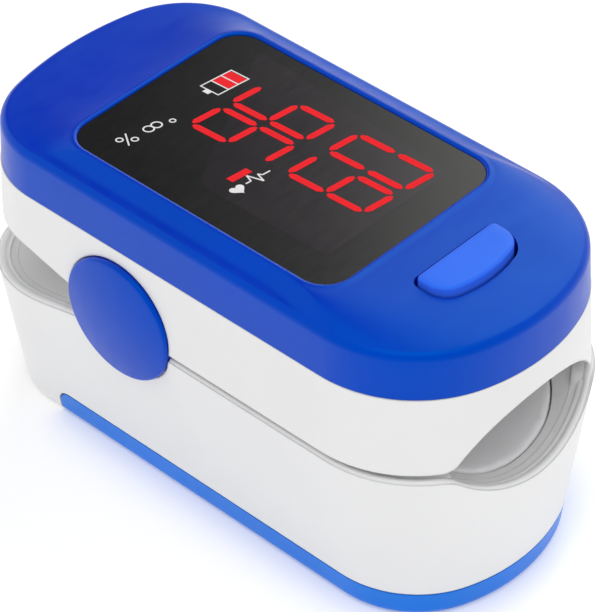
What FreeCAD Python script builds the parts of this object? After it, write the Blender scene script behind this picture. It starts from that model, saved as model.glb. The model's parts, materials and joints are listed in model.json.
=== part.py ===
"""Fingertip pulse oximeter: a spring clip of two hollow halves that turn on a side hinge.

Frame: +X is the width, the finger goes in at -Y, +Z is up, and the origin is the centre of
the flat underside. Lengths are in millimetres. The rounded plan shape of each half is drawn
once, at the parting line, and every other level is that shape drawn in by an inset.
"""
import FreeCAD, Part
import math
import os

import Sketcher

doc = FreeCAD.newDocument("PulseOximeter")

SIZES = {
    # Overall shape
    "body_length": 58.0,
    "side_room": 3.65,
    "front_corner": 11.5,
    "front_bow": 18.5,
    "rear_corner": 8.6,
    "rear_bow": 31.0,
    "upper_front_inset": 0.45,
    "upper_rear_inset": 1.95,
    "lower_draft": 0.13,
    "upper_draft": 0.04,
    "wall": 1.2,
    "base_round": 0.9,
    # Heights above the underside
    "rim_rise": 5.0,
    "parting_gap": 0.8,
    "upper_shell_rise": 8.7,
    "crease_rise": 4.3,
    "lip_depth": 0.2,
    "lip_rise": 5.6,
    # Finger opening at the front and pinch gap at the rear
    "dip_rise": 1.25,
    "dip_bow": 12.4,
    "dip_blend": 2.0,
    "arch_rise": 5.9,
    "arch_bow": 9.9,
    "arch_blend": 1.6,
    "opening_reach": 14.0,
    "rear_rim_rise": 1.55,
    "rear_edge_rise": 3.2,
    "ramp_start": 5.6,
    "upper_ramp_start": 8.4,
    "ramp_end": 18.6,
    "ramp_round": 9.0,
    # Hinge
    "hinge_back": 6.8,
    "hinge_rise": 1.35,
    "cap_radius": 5.95,
    "cap_edge": 0.85,
    "cap_dome": 0.55,
    "cap_inset": 0.55,
    "ear_radius": 4.7,
    "upper_ear_depth": 1.3,
    "ear_gap": 0.2,
    "lower_ear_depth": 1.1,
    "lower_ear_radius": 3.2,
    "lower_ear_foot": 6.0,
    "stud_radius": 1.2,
    "stud_reach": 1.7,
    # Clearances
    "running_clearance": 0.05,
    "moving_gap": 0.35,
    "seat_gap": 0.1,
    "joint_gap": 0.05,
    # Power button
    "button_back": -18.5,
    "button_front": -22.4,
    "button_width": 9.6,
    "button_rise": 6.0,
    "button_room": 0.15,
    "button_front_corner": 2.2,
    "button_back_corner": 0.6,
    "button_bow": 12.0,
    "button_flange": 0.7,
    "button_flange_depth": 0.5,
    "button_travel": 0.35,
    "button_gap": 0.3,
    "button_round": 0.3,
    # Screen and display
    "window_side_inset": 3.55,
    "window_length": 30.3,
    "window_back": 15.95,
    "window_corner": 2.6,
    "straight_bow": 580.0,
    "window_depth": 1.0,
    "window_ledge": 0.9,
    "lip_width": 0.6,
    "roof_depth": 1.1,
    "module_side_inset": 3.0,
    "module_length": 21.6,
    "module_middle": 0.4,
    # Boards
    "board_rise": 1.5,
    "board_depth": 1.0,
    "board_gap": 0.5,
    "chip_size": 6.0,
    "chip_depth": 0.9,
    "chip_back": 14.5,
    "switch_size": 4.4,
    "switch_depth": 0.9,
    "plunger_radius": 1.1,
    # Finger side
    "bay_gap": 0.55,
    "arch_cover": 1.5,
    "seat_drop": 0.65,
    "pad_front_inset": 3.1,
    "pad_side_inset": 4.95,
    "pad_back": 2.8,
    "pad_back_corner": 2.85,
    "sensor_back": -8.0,
    "sensor_window_radius": 3.2,
    "sensor_window_depth": 0.65,
    "sensor_size": 3.0,
    "sensor_hole_radius": 2.3,
    "sensor_board_width": 4.6,
    "sensor_board_length": 9.0,
    "sensor_board_depth": 0.7,
    "bay_inset": 0.3,
    # Battery bay
    "cell_radius": 5.15,
    "cell_length": 43.3,
    "cell_nub_radius": 1.9,
    "cell_nub_length": 0.9,
    "cell_gap": 0.2,
    "cell_reach": 21.8,
    "cell_lift": 0.35,
    "dimple_radius": 1.3,
    "contact_size": 5.4,
    "contact_depth": 0.3,
    "contact_spring_radius": 2.6,
    "contact_spring_tip": 1.55,
    "contact_spring_turns": 2.5,
    "contact_wire": 0.22,
    # Battery cover
    "cover_height": 2.84,
    "cover_back": 17.6,
    "cover_floor": 1.2,
    "cover_tongue": 3.0,
    "cover_tongue_width": 4.4,
    "cover_round": 1.5,
    "grip_start": -14.5,
    "grip_pitch": 1.6,
    "grip_width": 0.8,
    "grip_depth": 0.35,
    "grip_reach": 5.0,
    "rail_inset": 1.05,
    "rail_width": 0.55,
    "rail_reach": 0.75,
    "rail_length": 24.0,
    "lip_reach": 1.15,
    # Screws
    "screw_radius": 0.7,
    "screw_head_radius": 1.4,
    "screw_head_depth": 0.9,
    "screw_recess_radius": 0.5,
    "front_head_height": 2.55,
    "post_radius": 1.4,
    "screw_side_inset": 3.45,
    "upper_screw_front": -12.5,
    "upper_screw_back": 17.5,
    "lower_screw_front": -23.4,
    "post_gap": 0.1,
    # Hinge springs
    "hinge_spring_radius": 2.0,
    "hinge_spring_wire": 0.25,
    "hinge_spring_turns": 2.0,
    "hinge_spring_leg": 2.6,
    # Sensor lead
    "lead_width": 2.4,
    "lead_depth": 0.3,
    "lead_slot_half": 0.9,
}

# Sizes that follow from the ones above, so that what fits keeps fitting
FOLLOWING = {
    "body_width": "4 * cell_radius + cell_gap + 2 * side_room",
    "tray_underside": "cover_floor + cell_lift + 2 * cell_radius + bay_gap",
    "rim_height": "tray_underside + rim_rise",
    "hinge_height": "rim_height + hinge_rise",
    "dip_height": "tray_underside + dip_rise",
    "rear_rim_height": "tray_underside + rear_rim_rise",
    "arch_height": "rim_height + arch_rise",
    "rear_edge_height": "rim_height + rear_edge_rise",
    "upper_tray_top": "arch_height + arch_cover",
    "cover_line": "rim_height + upper_shell_rise",
    "board_underside": "upper_tray_top + board_rise",
    "crease_height": "cover_line + crease_rise",
    "roof_underside": "crease_height - roof_depth",
    "lip_height": "cover_line + lip_rise",
    "screen_height": "lip_height - lip_depth",
    "button_height": "cover_line + button_rise",
    "button_underside": "roof_underside - button_flange_depth - button_room",
    "cap_seat": "body_width / 2 - cap_inset",
    "upper_ear_inner": "cap_seat - upper_ear_depth",
    "lower_ear_outer": "upper_ear_inner - ear_gap",
    "lower_ear_inner": "lower_ear_outer - lower_ear_depth",
    "stud_end": "lower_ear_inner - stud_reach",
    "hinge_bay_width": "2 * (stud_end - bay_inset)",
    "pad_width": "body_width - 2 * pad_side_inset",
    "window_width": "body_width - 2 * window_side_inset",
    "module_width": "window_width - 2 * module_side_inset",
    "upper_screw_side": "body_width / 2 - screw_side_inset",
    "lower_screw_back": "body_length / 2 - lower_draft * rim_height - wall - post_radius - post_gap",
    "cell_front": "wall - cell_reach",
    "rail_inner": "2 * cell_radius + cell_gap / 2 - rail_inset",
}


def make_sheet():
    """Write every driving size into one sheet, each under its own alias."""
    sheet = doc.addObject("Spreadsheet::Sheet", "Sizes")
    for row, (alias, size) in enumerate(SIZES.items(), start=1):
        sheet.set(f"A{row}", alias)
        sheet.set(f"B{row}", str(size))
        sheet.setAlias(f"B{row}", alias)
    doc.recompute()
    return sheet


sheet = make_sheet()


def reference(word):
    """A word of a formula, turned into a reference to the sheet if it names a size."""
    if word in FOLLOWING:
        return f"({bound(FOLLOWING[word])})"
    return "Sizes." + word if word in SIZES else word


def bound(formula):
    """Turn the bare names of a formula into references to the sheet."""
    words = []
    word = ""
    for letter in formula + " ":
        if letter.isalnum() or letter in "_.":
            word += letter
            continue
        words.append(reference(word))
        words.append(letter)
        word = ""
    return "".join(words).strip()


def size(formula):
    """The present value of a formula, as a plain number."""
    value = sheet.evalExpression(bound(formula))
    return float(getattr(value, "Value", value))


# ---------------------------------------------------------------- sketch helpers

def new_body(label):
    body = doc.addObject("PartDesign::Body", label)
    body.Label = label
    return body


def origin_plane(body, role):
    for feature in body.Origin.OriginFeatures:
        if feature.Role == role:
            return feature
    raise ValueError(role)


def new_sketch(body, name, role="XY_Plane", offset="0"):
    """A sketch on one of the body's own origin planes, moved along its normal by a formula."""
    sketch = body.newObject("Sketcher::SketchObject", name)
    sketch.AttachmentSupport = [(origin_plane(body, role), "")]
    sketch.MapMode = "FlatFace"
    sketch.setExpression("AttachmentOffset.Base.z", bound(offset))
    return sketch


def fix_distance(sketch, kind, geometry, vertex, formula):
    """Hold one coordinate of a point at a formula, whichever side of the axis it is on."""
    value = size(formula)
    if abs(value) < 1e-9:
        axis = -2 if kind == "DistanceX" else -1
        sketch.addConstraint(Sketcher.Constraint("PointOnObject", geometry, vertex, axis))
        return
    if value > 0:
        index = sketch.addConstraint(
            Sketcher.Constraint(kind, -1, 1, geometry, vertex, value))
        sketch.setExpression(f"Constraints[{index}]", bound(formula))
        return
    index = sketch.addConstraint(Sketcher.Constraint(kind, geometry, vertex, -1, 1, -value))
    sketch.setExpression(f"Constraints[{index}]", bound(f"-({formula})"))


def fix_radius(sketch, geometry, formula):
    index = sketch.addConstraint(Sketcher.Constraint("Radius", geometry, size(formula)))
    sketch.setExpression(f"Constraints[{index}]", bound(formula))


def add_circle(sketch, across, up, radius):
    centre = FreeCAD.Vector(size(across), size(up), 0)
    circle = Part.Circle(centre, FreeCAD.Vector(0, 0, 1), size(radius))
    index = sketch.addGeometry(circle, False)
    fix_distance(sketch, "DistanceX", index, 3, across)
    fix_distance(sketch, "DistanceY", index, 3, up)
    fix_radius(sketch, index, radius)


def corner_arc(before, corner, after, radius):
    """Start, middle and end of the arc of a radius that rounds a corner of a polygon."""
    towards_before = (before - corner).normalize()
    towards_after = (after - corner).normalize()
    half_angle = towards_before.getAngle(towards_after) / 2
    trim = radius / math.tan(half_angle)
    start = corner + towards_before * trim
    end = corner + towards_after * trim
    bisector = (towards_before + towards_after).normalize()
    middle = corner + bisector * (radius / math.sin(half_angle) - radius)
    return start, middle, end


def add_polygon(sketch, corners):
    """A closed polygon; each corner is (across, up) or (across, up, corner radius)."""
    places = [FreeCAD.Vector(size(corner[0]), size(corner[1]), 0) for corner in corners]
    count = len(corners)
    starts = list(places)
    ends = list(places)
    middles = {}
    for index, corner in enumerate(corners):
        if len(corner) == 3:
            before = places[index - 1]
            after = places[(index + 1) % count]
            ends[index], middles[index], starts[index] = corner_arc(
                FreeCAD.Vector(before), places[index], FreeCAD.Vector(after), size(corner[2]))
    points = []
    for index, corner in enumerate(corners):
        point = sketch.addGeometry(Part.Point(places[index]), True)
        fix_distance(sketch, "DistanceX", point, 1, corner[0])
        fix_distance(sketch, "DistanceY", point, 1, corner[1])
        points.append(point)
    lines = []
    for index in range(count):
        end = ends[(index + 1) % count]
        lines.append(sketch.addGeometry(Part.LineSegment(starts[index], end), False))
    for index, corner in enumerate(corners):
        line_in = lines[index - 1]
        line_out = lines[index]
        if index not in middles:
            sketch.addConstraint(Sketcher.Constraint("Coincident", line_in, 2, points[index], 1))
            sketch.addConstraint(Sketcher.Constraint("Coincident", line_out, 1, points[index], 1))
            continue
        arc = Part.Arc(ends[index], middles[index], starts[index])
        arc_index = sketch.addGeometry(arc, False)
        sketch.addConstraint(Sketcher.Constraint("PointOnObject", points[index], 1, line_in))
        sketch.addConstraint(Sketcher.Constraint("PointOnObject", points[index], 1, line_out))
        first, last = arc_ends(sketch, arc_index, ends[index])
        sketch.addConstraint(Sketcher.Constraint("Tangent", line_in, 2, arc_index, first))
        sketch.addConstraint(Sketcher.Constraint("Tangent", line_out, 1, arc_index, last))
        fix_radius(sketch, arc_index, corner[2])


def arc_ends(sketch, arc_index, first_place):
    """Which end of a sketch arc lies at the given place, and the other one."""
    start = sketch.getPoint(arc_index, 1)
    return (1, 2) if (start - first_place).Length < 1e-6 else (2, 1)


def add_rectangle(sketch, left, right, low, high):
    add_polygon(sketch, [(left, low), (right, low), (right, high), (left, high)])


def add_outline(sketch, half_width, front, back, front_corner, front_bow, back_corner, back_bow):
    """The rounded plan shape: two straight sides, four corner arcs and two bowed ends."""
    half = size(half_width)
    ends = []
    for end, corner, bow, sign in (
            (front, front_corner, front_bow, -1), (back, back_corner, back_bow, 1)):
        bow_centre = size(end) - sign * size(bow)
        reach = size(bow) - size(corner)
        side = half - size(corner)
        rise = math.sqrt(reach ** 2 - side ** 2)
        corner_centre = bow_centre + sign * rise
        touch_x = side + side / reach * size(corner)
        touch_y = corner_centre + sign * rise / reach * size(corner)
        angle = (math.pi / 2 - math.atan2(side, rise)) / 2
        middle = FreeCAD.Vector(side + size(corner) * math.cos(angle),
                                corner_centre + sign * size(corner) * math.sin(angle), 0)
        ends.append((corner_centre, FreeCAD.Vector(touch_x, touch_y, 0), middle, size(end)))
    (front_y, front_touch, front_middle, front_end) = ends[0]
    (back_y, back_touch, back_middle, back_end) = ends[1]
    vector = FreeCAD.Vector

    def mirrored(place):
        return vector(-place.x, place.y, 0)

    curves = [
        Part.LineSegment(vector(half, front_y, 0), vector(half, back_y, 0)),
        Part.Arc(vector(half, back_y, 0), back_middle, back_touch),
        Part.Arc(back_touch, vector(0, back_end, 0), mirrored(back_touch)),
        Part.Arc(mirrored(back_touch), mirrored(back_middle), vector(-half, back_y, 0)),
        Part.LineSegment(vector(-half, back_y, 0), vector(-half, front_y, 0)),
        Part.Arc(vector(-half, front_y, 0), mirrored(front_middle), mirrored(front_touch)),
        Part.Arc(mirrored(front_touch), vector(0, front_end, 0), front_touch),
        Part.Arc(front_touch, front_middle, vector(half, front_y, 0)),
    ]
    indices = [sketch.addGeometry(curve, False) for curve in curves]
    for order, index in enumerate(indices):
        following = indices[(order + 1) % len(indices)]
        sketch.addConstraint(Sketcher.Constraint("Tangent", index, 2, following, 1))
    right_side, back_right, back_arc, back_left, left_side, front_left, front_arc, front_right = indices
    for side in (right_side, left_side):
        sketch.addConstraint(Sketcher.Constraint("Vertical", side))
    fix_distance(sketch, "DistanceX", right_side, 1, half_width)
    fix_distance(sketch, "DistanceX", left_side, 1, f"-({half_width})")
    for arc, radius, centre in (
            (back_arc, back_bow, f"({back}) - ({back_bow})"),
            (front_arc, front_bow, f"({front}) + ({front_bow})")):
        sketch.addConstraint(Sketcher.Constraint("PointOnObject", arc, 3, -2))
        fix_radius(sketch, arc, radius)
        fix_distance(sketch, "DistanceY", arc, 3, centre)
    for arc, radius in ((back_right, back_corner), (back_left, back_corner),
                        (front_left, front_corner), (front_right, front_corner)):
        fix_radius(sketch, arc, radius)


def outline_at(body, name, height, inset, front_extra="0", back_extra="0"):
    """The body's plan shape at a height, drawn in all round by an inset."""
    sketch = new_sketch(body, name, "XY_Plane", height)
    add_outline(
        sketch,
        f"body_width / 2 - ({inset})",
        f"({inset}) + ({front_extra}) - body_length / 2",
        f"body_length / 2 - ({inset}) - ({back_extra})",
        f"front_corner - ({inset})",
        f"front_bow - ({inset})",
        f"rear_corner - ({inset})",
        f"rear_bow - ({inset})")
    return sketch


def lower_outline(body, name, height, inset="0"):
    """Plan shape of the lower half, which narrows downwards from its rim."""
    return outline_at(body, name, height, f"lower_draft * (rim_height - ({height})) + {inset}")


def upper_outline(body, name, height, inset="0"):
    """Plan shape of the upper half, which narrows a little upwards from its lower edge."""
    drawn_in = f"upper_draft * (({height}) - rim_height - parting_gap) + {inset}"
    return outline_at(body, name, height, drawn_in, "upper_front_inset", "upper_rear_inset")


def pad(body, sketch, depth, reverse=False, both_ways=False):
    feature = body.newObject("PartDesign::Pad", sketch.Name + "Pad")
    feature.Profile = sketch
    feature.setExpression("Length", bound(depth))
    feature.Reversed = reverse
    feature.Midplane = both_ways
    doc.recompute()
    return feature


def pocket(body, sketch, depth, reverse=False, both_ways=False):
    """Cut a sketch into the body, and make sure that the cut took something away."""
    before = body.Shape.Volume
    feature = body.newObject("PartDesign::Pocket", sketch.Name + "Pocket")
    feature.Profile = sketch
    feature.setExpression("Length", bound(depth))
    feature.Reversed = reverse
    feature.Midplane = both_ways
    doc.recompute()
    if body.Shape.Volume > before - 1e-6:
        raise ValueError(f"{sketch.Name} cuts nothing")
    return feature


def loft(body, kind, first, last):
    feature = body.newObject(f"PartDesign::{kind}Loft", first.Name + "Loft")
    feature.Profile = first
    feature.Sections = [last]
    feature.Ruled = True
    doc.recompute()
    return feature


def fillet(body, radius, chosen):
    """Round the edges of the body's tip that a test on the edge picks out."""
    base = body.Tip
    names = [f"Edge{number}" for number, edge in enumerate(base.Shape.Edges, start=1)
             if chosen(edge)]
    if not names:
        raise ValueError(f"{body.Label} has no edge to round")
    feature = body.newObject("PartDesign::Fillet", body.Label + "_round")
    feature.Base = (base, names)
    feature.setExpression("Radius", bound(radius))
    doc.recompute()
    return feature


def side_cut(body, name, corners):
    """Cut a profile drawn in the YZ plane through the whole width."""
    sketch = new_sketch(body, name, "YZ_Plane")
    add_polygon(sketch, corners)
    return pocket(body, sketch, "2 * body_width", both_ways=True)


def lies_at_height(edge, height):
    box = edge.BoundBox
    return abs(box.ZMin - height) < 1e-3 and abs(box.ZMax - height) < 1e-3


def runs_along_y(edge):
    box = edge.BoundBox
    return box.XLength < 1e-3 and box.ZLength < 1e-3


# ---------------------------------------------------------------- shared shapes

HINGE_SLOT_FRONT = "hinge_back - lower_ear_radius - moving_gap"
HINGE_SLOT_BACK = "hinge_back + lower_ear_radius + moving_gap"
DIP_CENTRE = "dip_height + dip_bow"
ARCH_CENTRE = "arch_height - arch_bow"
CELL_HEIGHT = "cover_floor + cell_lift + cell_radius"
CELL_SIDE = "cell_radius + cell_gap / 2"
MODULE_FACE = "screen_height - window_depth - seat_gap"
BOARD_TOP = "board_underside + board_depth"
GRIP_COUNT = 4
POINTS_PER_TURN = 16
MITRED = 1


def cut_lower_ramp(body, drop="0"):
    """Lower the rim behind the hinge, in a smooth ramp down to the rear rim."""
    side_cut(body, body.Label + "_ramp", [
        ("ramp_start", f"rim_height - ({drop})", "ramp_round"),
        ("ramp_end", f"rear_rim_height - ({drop})", "ramp_round"),
        ("body_length", f"rear_rim_height - ({drop})"),
        ("body_length", "screen_height"),
        ("-body_length", "screen_height"),
        ("-body_length", f"rim_height - ({drop})")])


def cut_upper_ramp(body, rise="0"):
    """Raise the lower edge behind the hinge, to leave the gap that fingers pinch."""
    side_cut(body, body.Label + "_ramp", [
        ("upper_ramp_start", f"rim_height + parting_gap + {rise}", "ramp_round"),
        ("ramp_end", f"rear_edge_height + {rise}", "ramp_round"),
        ("body_length", f"rear_edge_height + {rise}"),
        ("body_length", "0"),
        ("-body_length", "0"),
        ("-body_length", f"rim_height + parting_gap + {rise}")])


def cut_trough(body, name, centre, radius, front, length):
    """Cut a round trough for the finger, from a front station backwards."""
    sketch = new_sketch(body, name, "XZ_Plane", f"-({front})")
    add_circle(sketch, "0", centre, radius)
    pocket(body, sketch, length)


def cut_box(body, name, left, right, front, back, low, high):
    """Cut a straight-sided slot."""
    sketch = new_sketch(body, name, "XY_Plane", high)
    add_rectangle(sketch, left, right, front, back)
    pocket(body, sketch, f"({high}) - ({low})")


def cut_round(body, name, across, along, radius, low, high):
    """Drill an upright hole between two heights."""
    sketch = new_sketch(body, name, "XY_Plane", high)
    add_circle(sketch, across, along, radius)
    pocket(body, sketch, f"({high}) - ({low})")


def pad_round(body, name, across, along, radius, low, high):
    """Add an upright round post between two heights."""
    sketch = new_sketch(body, name, "XY_Plane", low)
    add_circle(sketch, across, along, radius)
    pad(body, sketch, f"({high}) - ({low})")


def block(label, left, right, front, back, low, high):
    """A piece that starts as a plain rectangular block."""
    body = new_body(label)
    sketch = new_sketch(body, label + "_plan", "XY_Plane", low)
    add_rectangle(sketch, left, right, front, back)
    pad(body, sketch, f"({high}) - ({low})")
    return body


def disc(label, across, along, radius, low, high):
    """A piece that starts as an upright round disc."""
    body = new_body(label)
    pad_round(body, label + "_plan", across, along, radius, low, high)
    return body


def hinge_discs(body, name, radius, inner, depth, cut):
    """Work a round shape about the hinge axis on both sides, from an inner station outwards."""
    for side, sign in (("left", -1), ("right", 1)):
        station = inner if sign > 0 else f"-({inner}) - ({depth})"
        sketch = new_sketch(body, f"{name}_{side}", "YZ_Plane", station)
        add_circle(sketch, "hinge_back", "hinge_height", radius)
        if cut:
            pocket(body, sketch, depth, reverse=True)
        else:
            pad(body, sketch, depth)


def hinge_plates(body, name, inner, depth, radius, low, high):
    """Add an upright plate beside the hinge on both sides, from an inner station outwards."""
    for side, sign in (("left", -1), ("right", 1)):
        station = inner if sign > 0 else f"-({inner}) - ({depth})"
        sketch = new_sketch(body, f"{name}_{side}", "YZ_Plane", station)
        add_rectangle(sketch, f"hinge_back - {radius}", f"hinge_back + {radius}", low, high)
        pad(body, sketch, depth)


def cut_hinge_slots(body, high):
    """Open both sides of a tray where the ears and springs of the hinge stand."""
    for side, left, right in (("left", "-body_width", "-hinge_bay_width / 2"),
                              ("right", "hinge_bay_width / 2", "body_width")):
        cut_box(body, f"{body.Label}_slot_{side}", left, right,
                HINGE_SLOT_FRONT, HINGE_SLOT_BACK, "0", high)


def cut_lead_slot(body, high):
    """Open a tray at the hinge line, where the flat sensor lead passes through it."""
    cut_box(body, f"{body.Label}_lead_slot", "-lead_width / 2 - moving_gap",
            "lead_width / 2 + moving_gap", "hinge_back - lead_slot_half",
            "hinge_back + lead_slot_half", "0", high)


# ---------------------------------------------------------------- lower half

def make_lower_shell():
    """White lower shell: a drafted tub, open below for the cells and above for the tray."""
    body = new_body("lower_shell")
    loft(body, "Additive", lower_outline(body, "lower_rim", "rim_height"),
         lower_outline(body, "lower_base", "0"))
    loft(body, "Subtractive", lower_outline(body, "lower_hollow_top", "rim_height", "wall"),
         lower_outline(body, "lower_hollow_floor", "cover_floor", "wall"))
    fillet(body, "base_round", lambda edge: lies_at_height(edge, 0))
    side_cut(body, "cover_notch", [
        ("-body_length", "-1"),
        ("cover_back + seat_gap", "-1"),
        ("cover_back + seat_gap", "cover_height + seat_gap", "cover_round"),
        ("-body_length", "cover_height + seat_gap")])
    front_tab = new_sketch(body, "front_tab", "XY_Plane", "cover_height + seat_gap")
    add_rectangle(front_tab, "-post_radius - wall / 2", "post_radius + wall / 2",
                  "-body_length / 2 + 2 * wall", "lower_screw_front + post_radius")
    pad(body, front_tab, "wall")
    cut_lower_ramp(body)
    cut_trough(body, "front_dip", DIP_CENTRE, "dip_bow", "-body_length", "body_length - opening_reach")
    fillet(body, "dip_blend", lambda edge: runs_along_y(edge)
           and lies_at_height(edge, size("rim_height")) and edge.BoundBox.YMax < 0
           and abs(edge.BoundBox.Center.x) < size("dip_bow"))
    hinge_discs(body, "ear_notch", "ear_radius + moving_gap", "lower_ear_outer", "body_width", True)
    hinge_plates(body, "lower_ear", "lower_ear_inner", "lower_ear_outer - lower_ear_inner",
                 "lower_ear_radius", "lower_ear_foot", "hinge_height")
    hinge_discs(body, "lower_ear_top", "lower_ear_radius", "lower_ear_inner",
                "lower_ear_outer - lower_ear_inner", False)
    hinge_discs(body, "cap_recess", "cap_radius + seat_gap", "cap_seat - seat_gap", "body_width", True)
    hinge_discs(body, "stud_hole", "stud_radius", "0", "body_width", True)
    add_cover_rails(body)
    for name, along, floor in (("front", "lower_screw_front", "cover_height + seat_gap"),
                               ("rear", "lower_screw_back", "0")):
        cut_round(body, f"{name}_screw_hole", "0", along, "screw_radius + running_clearance",
                  floor, "tray_underside")
    for name, along, floor, head in (
            ("rear", "lower_screw_back", "0", "0"),
            ("front", "lower_screw_front", "cover_height + seat_gap", "front_head_height")):
        cut_round(body, f"{name}_screw_head", "0", along,
                  "screw_head_radius + running_clearance", floor, f"{head} + screw_head_depth")
    return body


def add_cover_rails(body):
    """Two rails in the cell bay that the battery cover hangs from and slides on."""
    top = "cover_height + seat_gap"
    for side, sign in (("left", "-"), ("right", "")):
        sketch = new_sketch(body, f"rail_{side}", "XZ_Plane", "0")
        add_polygon(sketch, [
            (f"{sign}(rail_inner)", "cover_floor + joint_gap"),
            (f"{sign}(rail_inner + rail_reach)", "cover_floor + joint_gap"),
            (f"{sign}(rail_inner + rail_reach)", "cover_floor + joint_gap + rail_width"),
            (f"{sign}(rail_inner + rail_width)", "cover_floor + joint_gap + rail_width"),
            (f"{sign}(rail_inner + rail_width)", top),
            (f"{sign}(body_width / 2 - 2 * wall)", top),
            (f"{sign}(body_width / 2 - 2 * wall)", f"{top} + rail_width"),
            (f"{sign}(rail_inner)", f"{top} + rail_width")])
        pad(body, sketch, "rail_length", both_ways=True)


def make_battery_cover():
    """Blue cover that closes the cell bay and wraps up round the front and both sides."""
    body = new_body("battery_cover")
    loft(body, "Additive", lower_outline(body, "cover_top", "cover_height"),
         lower_outline(body, "cover_base", "0"))
    loft(body, "Subtractive", lower_outline(body, "cover_hollow_top", "cover_height", "wall"),
         lower_outline(body, "cover_hollow_floor", "cover_floor", "wall"))
    fillet(body, "base_round", lambda edge: lies_at_height(edge, 0))
    side_cut(body, "cover_end", [
        ("cover_back", "-1"),
        ("body_length", "-1"),
        ("body_length", "rim_height"),
        ("-body_length", "rim_height"),
        ("-body_length", "cover_height"),
        ("cover_back", "cover_height", "cover_round")])
    tongue = new_sketch(body, "cover_tongue", "XY_Plane", "cover_floor + seat_gap")
    add_rectangle(tongue, "-cover_tongue_width / 2", "cover_tongue_width / 2",
                  "cover_back - cover_tongue", "cover_back + cover_tongue")
    pad(body, tongue, "cover_floor - 2 * seat_gap")
    tongue_root = new_sketch(body, "cover_tongue_root", "XY_Plane", "cover_floor")
    add_rectangle(tongue_root, "-cover_tongue_width / 2", "cover_tongue_width / 2",
                  "cover_back - cover_tongue", "cover_back")
    pad(body, tongue_root, "cover_floor - seat_gap")
    for side, sign in (("left", "-"), ("right", "")):
        sketch = new_sketch(body, f"cover_lip_{side}", "XZ_Plane", "0")
        low = "cover_floor + 2 * joint_gap + rail_width"
        add_polygon(sketch, [
            (f"{sign}(rail_inner + rail_width + joint_gap)", low),
            (f"{sign}(rail_inner + rail_width + lip_reach + wall / 2)", low),
            (f"{sign}(rail_inner + rail_width + lip_reach + wall / 2)", "cover_height"),
            (f"{sign}(rail_inner + rail_width + joint_gap)", "cover_height")])
        pad(body, sketch, "rail_length", both_ways=True)
    for groove in range(GRIP_COUNT):
        along = f"grip_start + {groove} * grip_pitch"
        cut_box(body, f"grip_{groove}", "-grip_reach", "grip_reach", along,
                f"{along} + grip_width", "-grip_depth", "grip_depth")
    return body


def make_tray():
    """Grey tray that closes the lower half and carries the finger pad."""
    body = new_body("lower_inner_cover")
    plan = outline_at(body, "tray_plan", "tray_underside",
                      "lower_draft * (rim_height - tray_underside) + wall + seat_gap")
    pad(body, plan, "rim_height - tray_underside - seat_gap")
    cut_lower_ramp(body, "2 * seat_gap")
    cut_trough(body, "tray_trough", f"{DIP_CENTRE} - seat_gap", "dip_bow",
               "-body_length", "body_length + pad_back + seat_gap")
    seat = new_sketch(body, "pad_seat", "XY_Plane", "rim_height")
    add_pad_plan(seat, "seat_gap / 2")
    pocket(body, seat, "rim_height - dip_height + seat_drop")
    for name, along in (("front", "lower_screw_front"), ("rear", "lower_screw_back")):
        low = "cover_height + seat_gap + wall" if name == "front" else "cover_floor"
        pad_round(body, f"tray_post_{name}", "0", along, "post_radius", f"{low} + joint_gap",
                  "tray_underside")
        cut_round(body, f"tray_pilot_{name}", "0", along, "screw_radius",
                  f"{low}", "tray_underside")
    cut_round(body, "detector_hole", "0", "sensor_back",
              "sensor_hole_radius", "0", "rim_height")
    cut_hinge_slots(body, "rim_height")
    cut_lead_slot(body, "rim_height")
    hinge_discs(body, "tray_ear_relief", "ear_radius + moving_gap",
                "lower_ear_outer - 2 * seat_gap", "body_width", True)
    return body


def add_pad_plan(sketch, grow):
    """Plan shape shared by both finger pads and by the seats that hold them."""
    add_outline(
        sketch, f"pad_width / 2 + {grow}",
        f"pad_front_inset - body_length / 2 - {grow}", f"pad_back + {grow}",
        f"front_corner - pad_front_inset - wall + {grow}", f"front_bow - pad_front_inset + {grow}",
        f"pad_back_corner + {grow}", f"rear_bow + {grow}")


def make_lower_pad():
    """Soft pad under the finger, with a round window for the light detector."""
    body = new_body("lower_finger_pad")
    plan = new_sketch(body, "lower_pad_plan", "XY_Plane", "dip_height - seat_drop + joint_gap")
    add_pad_plan(plan, "-seat_gap / 2")
    pad(body, plan, "rim_height - dip_height + seat_drop - joint_gap - seat_gap")
    cut_trough(body, "lower_pad_trough", f"{DIP_CENTRE} - seat_gap + seat_drop / 2", "dip_bow",
               "-body_length", "2 * body_length")
    cut_round(body, "lower_pad_window", "0", "sensor_back",
              "sensor_window_radius + joint_gap", "0", "rim_height")
    return body


# ---------------------------------------------------------------- upper half

def make_upper_shell():
    """White upper shell: a ring with an arched mouth, a raised tail and two hinge ears."""
    body = new_body("upper_shell")
    low = "rim_height + parting_gap"
    loft(body, "Additive", upper_outline(body, "upper_edge", low),
         upper_outline(body, "upper_top", "cover_line"))
    loft(body, "Subtractive", upper_outline(body, "upper_hollow_low", low, "wall"),
         upper_outline(body, "upper_hollow_high", "cover_line", "wall"))
    cut_trough(body, "mouth_arch", ARCH_CENTRE, "arch_bow", "-body_length",
               "body_length - opening_reach")
    fillet(body, "arch_blend", lambda edge: runs_along_y(edge)
           and lies_at_height(edge, size(low)) and edge.BoundBox.YMax < 0
           and abs(edge.BoundBox.Center.x) < size("arch_bow"))
    cut_upper_ramp(body)
    hinge_discs(body, "upper_ear", "ear_radius", "upper_ear_inner",
                "cap_seat - seat_gap - upper_ear_inner", False)
    hinge_discs(body, "upper_cap_recess", "cap_radius + seat_gap", "cap_seat - seat_gap",
                "body_width", True)
    hinge_discs(body, "upper_stud_hole", "stud_radius + running_clearance", "0",
                "body_width", True)
    return body


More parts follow.
